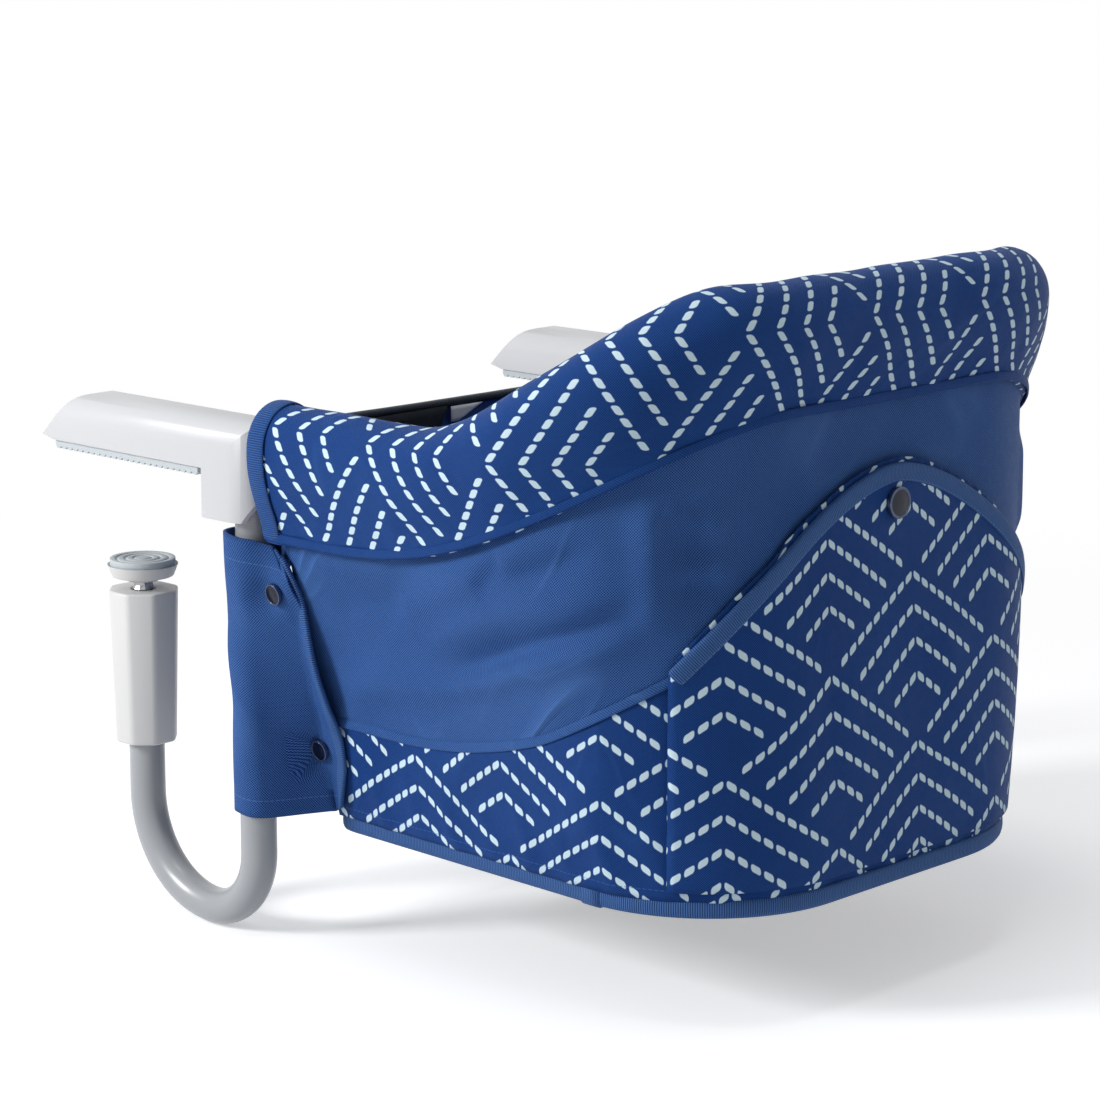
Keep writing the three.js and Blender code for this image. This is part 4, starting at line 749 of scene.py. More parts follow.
def makeStage(looks=stageLooks):
    size = looks["floorSize"] / 2
    bpy.ops.object.select_all(action="DESELECT")
    bpy.ops.mesh.primitive_plane_add(size=2 * size * mm, location=(0, 0, looks["floorHeight"] * mm))
    floor = settled(bpy.context.object, "floor")
    material, tree, shader = newMaterial("floorPaper",
                                         {"Roughness": 0.9, "Specular IOR Level": 0.1})
    place = objectPlace(tree)
    grain = put(tree, "ShaderNodeTexNoise", None, {"Vector": place, "Scale": 400.0})
    feed(tree, shader, "Base Color", looks["floor"])
    bumped(tree, shader, grain.outputs[0], 0.05, 0.0001)
    # Far from the object the paper goes over into the white behind it
    away = put(tree, "ShaderNodeVectorMath", {"operation": "LENGTH"}, {0: place}).outputs["Value"]
    fade = put(tree, "ShaderNodeMapRange", None,
               {"Value": away, "From Min": looks["fadeStart"],
                "From Max": looks["fadeEnd"]}).outputs[0]
    rays = put(tree, "ShaderNodeLightPath").outputs
    seen = calc(tree, "MAXIMUM",
                calc(tree, "MAXIMUM", rays["Is Camera Ray"], rays["Is Glossy Ray"]),
                rays["Is Transmission Ray"])
    glow = put(tree, "ShaderNodeEmission", None, {"Color": (1, 1, 1, 1), "Strength": 1.0})
    lift = put(tree, "ShaderNodeEmission", None,
               {"Strength": calc(tree, "MULTIPLY", seen, looks["floorGlow"])})
    near = put(tree, "ShaderNodeAddShader", None, {0: shader.outputs[0], 1: lift.outputs[0]})
    mixed = put(tree, "ShaderNodeMixShader", None, {0: calc(tree, "MULTIPLY", fade, seen),
                                                    1: near.outputs[0], 2: glow.outputs[0]})
    feed(tree, tree.nodes["Material Output"], "Surface", mixed.outputs[0])
    floor.data.materials.append(material)

    world = bpy.data.worlds.new("studio")
    bpy.context.scene.world = world
    world.use_nodes = True
    tree = world.node_tree
    rays = put(tree, "ShaderNodeLightPath").outputs
    seen = calc(tree, "MAXIMUM",
                calc(tree, "MAXIMUM", rays["Is Camera Ray"], rays["Is Glossy Ray"]),
                rays["Is Transmission Ray"])
    strength = calc(tree, "ADD", looks["worldStrength"],
                    calc(tree, "MULTIPLY", seen, 1.0 - looks["worldStrength"]))
    sky = tree.nodes["Background"]
    sky.inputs["Color"].default_value = (1, 1, 1, 1)
    feed(tree, sky, "Strength", strength)

    for i, (place, aim, width, height, power) in enumerate(looks["lamps"]):
        data = bpy.data.lights.new(f"lamp{i + 1}", "AREA")
        data.shape = "RECTANGLE"
        data.size, data.size_y, data.energy = width, height, power
        lamp = bpy.data.objects.new(f"lamp{i + 1}", data)
        lamp.location = place
        lamp.rotation_mode = "QUATERNION"
        lamp.rotation_quaternion = (Vector(aim) - Vector(place)).to_track_quat("-Z", "Y")
        bpy.context.scene.collection.objects.link(lamp)
    bpy.context.scene.view_settings.view_transform = "Standard"


makeCamera()
makeStage()
print("camera, floor and lamps made")


# The seat's own lines, the same as the frame's

seat = {
    "legX": 170.0, "legY": 19.5, "tubeRadius": 9.5, "screwReach": 90.0,
    "hoopDepth": 291.0, "hoopCorner": 96.0, "hoopHeight": 17.0, "hoopRise": 76.0,
    "riseStart": 143.0, "riseRun": 172.0,
    "rimFront": 38.6, "rimTop": 24.0, "hemFront": -28.0, "hemRear": 53.0, "hemStart": 75.0,
    "hemPower": 2.3,
    "wallOut": 3.0, "wallFrontTop": 47.0, "wallFrontBottom": 44.0, "wallThickness": 2.6,
    "baseHalfFront": 133.0, "baseHalfRear": 137.0, "baseFront": 41.0, "baseRear": 310.0,
    "baseCorner": 82.0,
    "baseBottom": -190.0, "bindingHeight": 10.0,
    "seamFront": -127.0, "seamRise": 82.0, "seamStart": 100.0, "seamPower": 1.9,
    "stepsCorner": 26, "stepsSide": 30, "stepsRear": 14,
}


def planLine(halfFront, halfRear, front, rear, corner):
    half = []
    for i in range(seat["stepsSide"]):
        share = i / seat["stepsSide"]
        half.append((lerp(halfFront, halfRear, share), lerp(front, rear - corner, share)))
    for i in range(seat["stepsCorner"] + 1):
        angle = math.pi / 2 * i / seat["stepsCorner"]
        half.append((halfRear - corner + corner * math.cos(angle),
                     rear - corner + corner * math.sin(angle)))
    for i in range(1, seat["stepsRear"]):
        half.append(((halfRear - corner) * (1 - i / seat["stepsRear"]), rear))
    return half + [(0.0, rear)] + [(-x, y) for x, y in reversed(half)]


def planNormals(points):
    made = []
    for i in range(len(points)):
        a, b = points[max(i - 1, 0)], points[min(i + 1, len(points) - 1)]
        way = Vector((b[0] - a[0], b[1] - a[1])).normalized()
        made.append(Vector((way.y, -way.x, 0)))
    return made


def hoopRiseAt(x, y):
    cornerX, cornerY = seat["legX"] - seat["hoopCorner"], seat["hoopDepth"] - seat["hoopCorner"]
    run = y if y <= cornerY else cornerY + seat["hoopCorner"] * math.atan2(y - cornerY,
                                                                           max(abs(x) - cornerX, 0))
    return seat["hoopRise"] * smooth((run - seat["riseStart"]) / seat["riseRun"])


def hemAt(y):
    share = clamp((y - seat["hemStart"]) / (seat["hoopDepth"] - seat["hemStart"]))
    return seat["hemFront"] + (seat["hemRear"] - seat["hemFront"]) * share ** seat["hemPower"]


def rimTopAt(x, y):
    return seat["hoopHeight"] + hoopRiseAt(x, y) + seat["rimTop"]


def seamAt(y):
    share = clamp((y - seat["seamStart"]) / (seat["baseRear"] - seat["seamStart"]))
    return seat["seamFront"] + seat["seamRise"] * share ** seat["seamPower"]


rimLine = planLine(seat["legX"], seat["legX"], seat["rimFront"], seat["hoopDepth"],
                   seat["hoopCorner"])
rimNormals = planNormals(rimLine)
wallTopLine = planLine(seat["legX"] + seat["wallOut"], seat["legX"] + seat["wallOut"],
                       seat["wallFrontTop"],
                       seat["hoopDepth"] + 6, seat["hoopCorner"])
wallBaseLine = planLine(seat["baseHalfFront"], seat["baseHalfRear"], seat["wallFrontBottom"],
                        seat["baseRear"],
                        seat["baseCorner"])
wallNormals = planNormals(wallTopLine)


def wallPoint(i, z, out):
    share = clamp((z - seat["baseBottom"]) / (seat["hemFront"] - seat["baseBottom"]))
    a, b = wallBaseLine[i], wallTopLine[i]
    return Vector((lerp(a[0], b[0], share), lerp(a[1], b[1], share), z)) + wallNormals[i] * out


# A place on the wall: run along it from the middle of the back, towards the child's left
def wallAt(run, z, out):
    points = [wallPoint(i, z, 0) for i in range(len(wallTopLine))]
    lengths = runs(points)
    place = lengths[-1] / 2 - run
    i = 0
    while i < len(lengths) - 2 and lengths[i + 1] < place:
        i += 1
    share = clamp((place - lengths[i]) / (lengths[i + 1] - lengths[i]))
    normal = wallNormals[i].lerp(wallNormals[i + 1], share).normalized()
    return points[i].lerp(points[i + 1], share) + normal * out, normal


# Soft folds: each runs from one place on the cloth to another and fades out at its ends
def foldField(folds, amount=1.0):
    def field(u, v):
        total = 0.0
        for (u0, v0), (u1, v1), width, depth in folds:
            along = Vector((u1 - u0, v1 - v0))
            way = Vector((u - u0, v - v0))
            share = way.dot(along) / along.length_squared
            off = (way - along * share).length
            fade = smooth(share / 0.25) * smooth((1 - share) / 0.25)
            total += depth * fade * math.exp(-(off / width) ** 2)
        return total * amount
    return field


# Padded rim

rimShape = {
    "fat": 15.5, "bulge": 3.0, "skirtOut": 9.0, "skirtIn": 3.0, "taper": 0.35,
    "outShares": [0.25, 0.7, 0.98, 1, 0.62, 0, -0.62, -1, -1, -0.55],
    "heightShares": [0.14, 0.34, 0.55, 0.78, 0.94, 1, 0.94, 0.78, 0.56, 0.36],
    "steps": 4, "endDepths": [0.0, 3.0, 7.0], "endShares": [0.97, 0.86, 0.6],
    "dents": 1.1, "gathers": 1.2,
    "printShift": (33.4, -209.0),
}


def rimSection(x, y, normal):
    shape = rimShape
    hem = hemAt(y)
    height = rimTopAt(x, y) - hem
    here = Vector((x, y, 0))
    at = lambda out, z: here + normal * out + Vector((0, 0, z))
    points = [at(shape["skirtIn"], hem), at(shape["skirtOut"] - 0.6, hem)]
    for i, (share, level) in enumerate(zip(shape["outShares"], shape["heightShares"])):
        lower = 1 - min(level / shape["heightShares"][3], 1) if i < 4 else 0
        full = shape["fat"] * (1 - shape["taper"] * lower) + (shape["bulge"] if share > 0 else 0)
        points.append(at(share * full + shape["skirtOut"] * lower, hem + height * level))
    points.append(at(1, hem + height * shape["heightShares"][0]))
    return curved(points, shape["steps"], closed=True)


def makeRim():
    shape = rimShape
    sections = [rimSection(x, y, rimNormals[i]) for i, (x, y) in enumerate(rimLine)]
    widest = 5 * shape["steps"]
    stations = runs([Vector((section[widest].x, section[widest].y, 0)) for section in sections])
    rows = []
    cloth = []
    for i, section in enumerate(sections):
        around = runs(section, True)
        rows.append(section)
        lift = section[widest].z - around[widest] - shape["printShift"][0]
        cloth.append([warped(v + lift, -stations[i] - shape["printShift"][1]) for v in around])
    # The ends are pulled in behind their tape
    for end in (0, len(sections) - 1):
        section = sections[end]
        centre = sum(section, Vector()) / len(section)
        extra = []
        for share, depth in zip(shape["endShares"], shape["endDepths"]):
            extra.append([centre + (p - centre) * share + Vector((0, depth, 0)) for p in section])
        spots = [cloth[end]] * len(extra)
        if end == 0:
            rows = extra[::-1] + rows
            cloth = spots + cloth
        else:
            rows = rows + extra
            cloth = cloth + spots
    rim = skin("rimCover", rows, cloth, printedCloth, ring=True, ends=("first", "last"))
    faceOut(rim)

    def dents(place, normal):
        soft = noise.noise(Vector((place.x, place.y, place.z * 1.6)) / 42)
        fine = noise.noise(Vector((place.x, place.y, place.z * 0.3)) / 9)
        low = clamp((rimTopAt(place.x, place.y) - place.z) / 60)
        return shape["dents"] * soft + shape["gathers"] * fine * low
    pushed(rim, dents)
    subdivided(rim)
    standsFor(rim, ["rim_pad"], "seat_frame")
    return sections


rimSections = makeRim()
print("rim made")


# Tape round the front ends of the rim, and the plain hem under the print

rimTapes = {
    "endSection": [(12.5, 0.1), (12.5, 1.3), (7.0, 1.9), (1.0, 1.6), (-0.6, 0.9), (-0.8, -0.6),
                   (-0.2, -3.0), (1.2, -3.0),
                   (1.4, -0.6)],
    "hemSection": [(0.2, -1.0), (1.3, -0.8), (1.6, 0.6), (1.5, 3.2), (1.1, 4.2), (0.2, 4.4)],
}


def makeRimTapes():
    pieces = []
    for side, name in ((0, "left_rim_end_tape"), (-1, "right_rim_end_tape")):
        section = rimSections[side]
        centre = sum(section, Vector()) / len(section)
        stations = []
        for i, place in enumerate(section):
            along = section[(i + 1) % len(section)] - section[i - 1]
            out = Vector((along.z, 0, -along.x)).normalized()
            if out.dot(place - centre) < 0:
                out.negate()
            stations.append((place, Vector((0, 1, 0)), out))
        tape = swept(name, stations, rimTapes["endSection"], tapeCloth, closed=True)
        subdivided(tape)
        pieces.append(standsFor(tape, [], "seat_frame"))
    stations = []
    for i, (x, y) in enumerate(rimLine):
        stations.append((Vector((x, y, hemAt(y))) + rimNormals[i] * rimShape["skirtOut"],
                         rimNormals[i],
                         Vector((0, 0, 1))))
    hem = swept("rimHem", stations, rimTapes["hemSection"], deepCloth)
    subdivided(hem)
    pieces.append(standsFor(hem, [], "seat_frame"))
    return pieces


makeRimTapes()
print("rim tapes made")


# Walls: the plain panel above and the printed band below

wallShape = {
    "welt": [(-1.4, -1.3), (0.5, -1.4), (0.9, -0.6), (0.8, 1.6), (0.3, 4.2), (-0.7, 4.4)],
    "panelRows": 42, "bandRows": 26, "panelTuck": 3.0, "panelLift": 4.0,
    # (run, height) at both ends of each fold, its width and depth
    "folds": [((150, -46), (290, -98), 8, 4.5), ((148, -22), (290, -68), 9, 4.0),
              ((165, 10), (318, -60), 12, 3.6), ((152, 22), (148, -50), 8, 4.4),
              ((152, -34), (272, -82), 6, -4.2), ((172, -6), (248, -34), 7, -3.4),
              ((226, -12), (246, -36), 5, -2.6), ((131, 24), (129, -40), 9, -4.6),
              ((146, 12), (110, 2), 6, 3.4), ((146, -16), (104, -18), 6, 3.6),
              ((360, -104), (262, -90), 9, 2.6), ((376, -40), (300, -30), 8, 2.2),
              ((356, -62), (292, -46), 8, -2.0), ((130, 40), (60, 10), 18, -1.6),
              ((-250, -20), (-120, -95), 15, 3.0), ((-262, -70), (-170, -120), 13, -2.4),
              ((-205, -30), (-110, -52), 11, -2.0), ((-150, 20), (-146, -46), 9, 3.0)],
    "printShift": (175.5, -88.8),
    "bandFolds": [((190, -120), (165, -178), 10, 1.0), ((120, -110), (105, -178), 10, -0.9),
                  ((230, -132), (215, -178), 9, -0.7), ((-190, -120), (-165, -178), 10, 1.0)],
    "puckerPitch": 27, "puckerEnd": 340,
}


def wallGrid(lowAt, highAt, rows, out, folds, shift=(0, 0)):
    field = foldField(folds)
    grid = []
    cloth = []
    count = len(wallTopLine)
    lengths = {}
    for step in range(2 * count - 1):
        i, half = step // 2, step % 2 / 2
        ends = (i, min(i + 1, count - 1))
        low, high = [lerp(*[level(wallTopLine[k][1], k) for k in ends], half)
                     for level in (lowAt, highAt)]
        heights = [lerp(low, high, j / rows) for j in range(rows + 1)]
        column = []
        spots = []
        for z in heights:
            key = round(z)
            if key not in lengths:
                line = runs([wallPoint(k, key, 0) for k in range(count)])
                lengths[key] = [line[-1] / 2 - value for value in line]
            run = lerp(*[lengths[key][k] for k in ends], half)
            off = out + field(run, z) * smooth(min(step, 2 * count - 2 - step) / 12)
            column.append(wallPoint(ends[0], z, off).lerp(wallPoint(ends[1], z, off), half))
            spots.append(warped(run - shift[0], z - shift[1]))
        grid.append(column)
        cloth.append(spots)
    return grid, cloth


def makeWalls():
    shape = wallShape
    grid, cloth = wallGrid(lambda y, i: seamAt(y) - shape["panelTuck"],
                           lambda y, i: hemAt(rimLine[i][1]) + shape["panelLift"],
                           shape["panelRows"], -0.5, shape["folds"])
    panel = skin("wallPanel", grid, cloth, plainCloth)
    outerSide(panel, (0, 170))
    thickened(panel, 1.9, -1)
    standsFor(panel, ["upper_panel"], "seat_frame")

    # Short puckers where the band is sewn to the base
    puckers = []
    for i, run in enumerate(range(-shape["puckerEnd"], shape["puckerEnd"], shape["puckerPitch"])):
        puckers.append(((run + 7, -140 - 6 * (i % 3)), (run - 5, -186), 5.5, 0.9 + 0.4 * (i % 2)))
    grid, cloth = wallGrid(lambda y, i: seat["baseBottom"] + seat["bindingHeight"] - 1.5,
                           lambda y, i: seamAt(y),
                           shape["bandRows"], 0.3, shape["bandFolds"] + puckers,
                           shape["printShift"])
    band = skin("wallBand", grid, cloth, bandCloth)
    outerSide(band, (0, 170))
    thickened(band, 2.2, -1)
    standsFor(band, ["lower_band"], "seat_frame")

    # The panel's turned edge lies over the band along their seam
    stations = []
    for i in range(0, len(wallTopLine)):
        place = wallPoint(i, seamAt(wallTopLine[i][1]), 0.5)
        stations.append((place, wallNormals[i], Vector((0, 0, 1))))
    welt = swept("wallWelt", stations, shape["welt"], plainCloth)
    subdivided(welt)
    standsFor(welt, [], "seat_frame")


makeWalls()
print("walls made")


# Back pocket with the tape along its arch

pocketShape = {
    "inner": 4.6, "half": 142.0, "top": 20.0, "shoulder": -66.0, "bottom": -176.0, "power": 1.7,
    "lay": 1.1, "belly": 3.5,
    "bellyPower": 0.6, "bellyLow": 0.08, "bellyHigh": 0.8, "thickness": 2.2, "columns": 64,
    "rows": 36,
    "printShift": (52.0, -32.7),
    "folds": [((-60, -150), (-30, -60), 16, 1.2), ((70, -140), (40, -50), 14, -1.0),
              ((20, -170), (95, -120), 12, 0.9)],
    "tape": [(-8.6, -0.2), (-8.6, 1.0), (-5.0, 1.5), (-1.0, 1.5), (0.9, 0.8), (1.2, -0.8),
             (0.8, -2.4), (-1.0, -3.0),
             (-1.4, -0.4)],
}


def pocketArch(share):
    shape = pocketShape
    return shape["shoulder"] + (shape["top"]
                                - shape["shoulder"]) * (1 - abs(share) ** shape["power"])


def pocketOut(share, level):
    shape = pocketShape
    side = math.cos(math.pi / 2 * min(abs(share), 1)) ** shape["bellyPower"]
    height = lerp(shape["bellyLow"], shape["bellyHigh"], level)
    return shape["lay"] + shape["belly"] * side * math.sin(math.pi * height) + shape["thickness"]


def pocketPlace(share, level, lift=0.0):
    shape = pocketShape
    z = lerp(shape["bottom"], pocketArch(share), level)
    return wallAt(share * shape["half"], z, pocketOut(share, level) + lift)


def makePocket():
    shape = pocketShape
    field = foldField(shape["folds"])
    grid = []
    cloth = []
    for i in range(shape["columns"] + 1):
        share = 2 * i / shape["columns"] - 1
        column = []
        spots = []
        for j in range(shape["rows"] + 1):
            level = j / shape["rows"]
            z = lerp(shape["bottom"], pocketArch(share), level)
            run = share * shape["half"]
            edge = smooth((1 - abs(share))
                          / 0.12) * smooth(level / 0.1) * smooth((1 - level) / 0.12)
            column.append(wallAt(run, z, pocketOut(share, level) + field(run, z) * edge)[0])
            spots.append(warped(run - shape["printShift"][0], z - shape["printShift"][1]))
        grid.append(column)
        cloth.append(spots)
    pocket = skin("backPocket", grid, cloth, printedCloth)
    outerSide(pocket, (0, 170))
    thickened(pocket, 1.8, -1)
    standsFor(pocket, ["back_pocket"], "seat_frame")

    stations = []
    steps = 120
    for i in range(steps + 1):
        share = 1 - 2 * i / steps
        place, normal = pocketPlace(share, 1.0)
        before = pocketPlace(clamp(share + 0.02, -1, 1), 1.0)[0]
        after = pocketPlace(clamp(share - 0.02, -1, 1), 1.0)[0]
        along = (after - before).normalized()
        up = normal.cross(along).normalized()
        if up.z < 0:
            up.negate()
        stations.append((place, up, up.cross(along).normalized()
                         * (1 if up.cross(along).dot(normal) > 0 else -1)))
    tape = swept("pocketTape", stations, shape["tape"], edgeTape)
    subdivided(tape)
    standsFor(tape, [], "seat_frame")

    # The pocket's inner layer stands a little above the tape, gathered
    rows = []
    cloth = []
    for i, (place, up, out) in enumerate(stations[2:-2]):
        ruck = 0.5 + 0.5 * math.sin(i * 1.9) + 0.6 * noise.noise(place / 9)
        tall = shape["inner"] * (0.75 + 0.4 * noise.noise(place / 31))
        rows.append([place - up * 2 - out * 2.6, place + up * tall * 0.5 + out * (ruck * 0.8 - 2.4),
                     place + up * tall + out * (ruck - 2.9)])
        cloth.append([warped(up.dot(p - place) + i * 0.9, i * 2.4 - up.dot(p - place))
                      for p in rows[-1]])
    inner = skin("pocketInner", rows, cloth, printedCloth)
    outerSide(inner, (0, 170))
    thickened(inner, 0.9, -1)
    subdivided(inner)
    standsFor(inner, [], "seat_frame")


makePocket()
print("pocket made")


# Tape round the base, with rounded front corners

baseTape = {
    "frontCorner": 9.0, "cornerSteps": 6,
    "section": [(-2.2, 9.6), (0.2, 10.2), (1.5, 8.6), (1.9, 5.0), (1.4, 1.4), (-0.4, -0.2),
                (-4.0, -0.5), (-11.0, -0.4),
                (-11.0, 0.6), (-3.2, 1.2), (-2.4, 4.0)],
    "joinRun": 306.0, "joinLength": 18.0,
}


def baseOutline(inset=0.0):
    half, front = seat["baseHalfFront"] - inset, seat["baseFront"] + inset
    corner = baseTape["frontCorner"]
    line = [Vector(((half - corner) * i / 12, front, 0)) for i in range(12)]
    for i in range(baseTape["cornerSteps"] + 1):
        angle = math.pi / 2 * (i / baseTape["cornerSteps"]) - math.pi / 2
        line.append(Vector((half - corner + corner * math.cos(angle),
                            front + corner + corner * math.sin(angle), 0)))
    rest = planLine(half, seat["baseHalfRear"] - inset, front, seat["baseRear"] - inset,
                    seat["baseCorner"] - inset)
    side = [Vector((x, y, 0)) for x, y in rest if y > front + corner + 3 and x >= 0]
    line += side
    return line + [Vector((-p.x, p.y, 0)) for p in reversed(line) if p.x > 0.001]


def makeBaseTape():
    line = baseOutline()
    stations = []
    for i, place in enumerate(line):
        along = (line[(i + 1) % len(line)] - line[i - 1]).normalized()
        out = Vector((along.y, -along.x, 0))
        stations.append((place + Vector((0, 0, seat["baseBottom"])), out, Vector((0, 0, 1))))
    tape = swept("baseTape", stations, baseTape["section"], edgeTape, closed=True)
    subdivided(tape)
    standsFor(tape, ["base_binding"], "seat_frame")

    # Where the tape's end laps over its beginning
    run = runs(line)
    lap = [s for s, r in zip(stations, run) if baseTape["joinRun"] <= r <= baseTape["joinRun"]
           + baseTape["joinLength"]]
    thicker = [(a * 1.02 + (0.55 if a > -1 else 0), b + (0.3 if b > 5 else -0.3)) for a,
               b in baseTape["section"]]
    if len(lap) > 1:
        join = swept("tapeLap", lap, thicker, edgeTape)
        standsFor(join, [], "seat_frame")


makeBaseTape()
print("base tape made")


# Seat cushion: crowned, with sewn channels across it and a pulled-in side seam

cushionShape = {
    "bottom": -182.2, "thickness": 20.0, "crown": 5.0, "inset": 9.0, "pitch": 62.0, "channel": 3.6,
    "sideLevels": [0.0, 0.12, 0.35, 0.65, 0.88, 1.0], "sideTucks": [5.0, 1.6, 0.2, 0.2, 1.6, 5.0],
    "rings": 26,
}


def cushionTop(y, share):
    shape = cushionShape
    middle = (seat["baseFront"] + seat["baseRear"]) / 2
    top = shape["bottom"] + shape["thickness"]
    dome = shape["crown"] * math.sqrt(clamp(1 - share ** 4))
    seam = abs(math.cos(math.pi * (y - middle) / shape["pitch"]))
    quilt = shape["channel"] * (1 - seam ** 0.5) * clamp((1 - share) * 5)
    return top - shape["crown"] + dome - quilt


def makeCushion():
    shape = cushionShape
    outline = baseOutline(shape["inset"])
    centre = Vector((0, (seat["baseFront"] + seat["baseRear"]) / 2, 0))
    side = shape["thickness"] - shape["crown"]
    rings = []
    for i in range(8):
        share = (i + 1) / 9
        rings.append([centre + (p - centre) * share * 0.97 + Vector((0, 0, shape["bottom"]))
                      for p in outline])
    for level, tuck in zip(shape["sideLevels"], shape["sideTucks"]):
        z = shape["bottom"] + side * level
        ring = []
        for p in outline:
            way = (p - centre).normalized()
            ring.append(p - way * tuck + Vector((0, 0, z)))
        rings.append(ring)
    for i in range(1, shape["rings"]):
        share = 1 - i / shape["rings"]
        ring = []
        for p in outline:
            way = (p - centre).normalized()
            spot = centre + (p - way * shape["sideTucks"][-1] - centre) * share
            ring.append(Vector((spot.x, spot.y, cushionTop(spot.y, share))))
        rings.append(ring)
    cloth = [[(p.x, p.y + (p.z - shape["bottom"]) * 0.9) for p in ring + ring[:1]]
             for ring in rings]
    cushion = skin("seatCushion", rings, cloth, cushionCloth, ring=True, ends=("first", "last"))
    faceOut(cushion)
    pushed(cushion, lambda place, normal: 0.7 * noise.noise(place / 26) if normal.z > 0.3 else 0.0)
    subdivided(cushion)
    standsFor(cushion, ["seat_cushion"], "seat_frame")


makeCushion()
print("cushion made")


# Leg sleeves: sewn to the wall's front edge, round the tube and back, closed with two studs

flapShape = {
    "heights": [-28, -40, -57, -80, -104, -128, -151, -176],
    "reaches": [39, 46, 52.5, 56.7, 60, 62, 59.4, 51],
    "thickness": 1.7, "looseTop": 4.4, "looseBottom": 1.1, "seamGap": 1.5, "wallGap": 0.7,
    "knee": 2.0,
    "rows": 44, "insideSteps": 5, "arcSteps": 20, "outsideSteps": 8, "freeSteps": 7,
    "topDrop": 9.0, "bow": 5.5, "bowTop": -64.0, "bowBottom": -136.0, "bottomBow": 2.0,
    "studs": [(-57, 0.62), (-143, 0.95)], "studRadius": 5.8, "studTurn": 0.95, "studDimple": 17.0,
    "tall": 148.0,
    "tape": [(-7.6, 1.5), (-4.0, 2.2), (0.0, 2.0), (1.4, 0.9), (1.4, -0.9), (0.0, -1.4),
             (-3.0, -1.5), (-7.6, -1.1)],
}


def flapPlan(z):
    shape = flapShape
    heights = shape["heights"]
    z = clamp(z, heights[-1], heights[0])
    share = (z - heights[-1]) / (heights[0] - heights[-1])
    radius = seat["tubeRadius"] + lerp(shape["looseBottom"], shape["looseTop"], share ** 2) + 0.9
    centre = Vector((seat["legX"], seat["legY"]))
    edge = wallPoint(0, z, 0)
    reach = between(heights, shape["reaches"], z)
    start = Vector((edge.x - 1.3, edge.y - shape["seamGap"]))
    onWall = edge.x + shape["wallGap"] + 0.9
    knee = Vector((onWall, min(edge.y + shape["knee"], reach - 3.6)))
    end = Vector((onWall + 1.4, reach))

    def tangent(point, side):
        way = point - centre
        return math.atan2(way.y, way.x) % (2 * math.pi) + side * math.acos(min(radius / way.length,
                                                                               1))
    first = tangent(start, 1)
    last = tangent(knee, -1) + 2 * math.pi
    arc = []
    for i in range(shape["arcSteps"] + 1):
        angle = lerp(first, last, i / shape["arcSteps"])
        arc.append(centre + Vector((math.cos(angle), math.sin(angle))) * radius)
    return start, arc, knee, end


def flapLine(z):
    shape = flapShape
    start, arc, knee, end = flapPlan(z)
    line = [start.lerp(arc[0], i / shape["insideSteps"]) for i in range(shape["insideSteps"])] + arc
    line += [arc[-1].lerp(knee, i / shape["outsideSteps"])
             for i in range(1, shape["outsideSteps"] + 1)]
    line += [knee.lerp(end, i / shape["freeSteps"]) for i in range(1, shape["freeSteps"] + 1)]
    return line


def flapPoint(column, level):
    shape = flapShape
    count = shape["insideSteps"] + shape["arcSteps"] + shape["outsideSteps"] + shape["freeSteps"]
    share = clamp((column - shape["insideSteps"] - shape["arcSteps"] * 0.6)
                  / (count - shape["insideSteps"] - shape["arcSteps"] * 0.6))
    top = shape["heights"][0] - shape["topDrop"] * share ** 1.6
    bottom = shape["heights"][-1] - shape["bottomBow"] * math.sin(math.pi * share)
    z = lerp(top, bottom, level)
    spot = flapLine(z)[column]
    place = Vector((spot.x, spot.y, z))
    free = clamp((column - (count - shape["freeSteps"] - shape["outsideSteps"] * 0.6))
                 / (shape["freeSteps"] + shape["outsideSteps"] * 0.6))
    bow = clamp((z - shape["bowBottom"]) / (shape["bowTop"] - shape["bowBottom"]))
    place.x += shape["bow"] * math.sin(math.pi * bow) * free ** 1.5
    place.x += 1.6 * free ** 2 * smooth((shape["heights"][-1] + 26 - z) / 26)
    return place


def studPlace(z, share):
    _, arc, knee, _ = flapPlan(z)
    along = (knee - arc[-1]).normalized()
    spot = arc[-1].lerp(knee, share)
    outward = Vector((along.y, -along.x, 0)).lerp(Vector((1, -0.1, -0.2)),
                                                  flapShape["studTurn"]).normalized()
    return Vector((spot.x, spot.y, z)) + outward * (flapShape["thickness"] / 2 + 0.6), outward


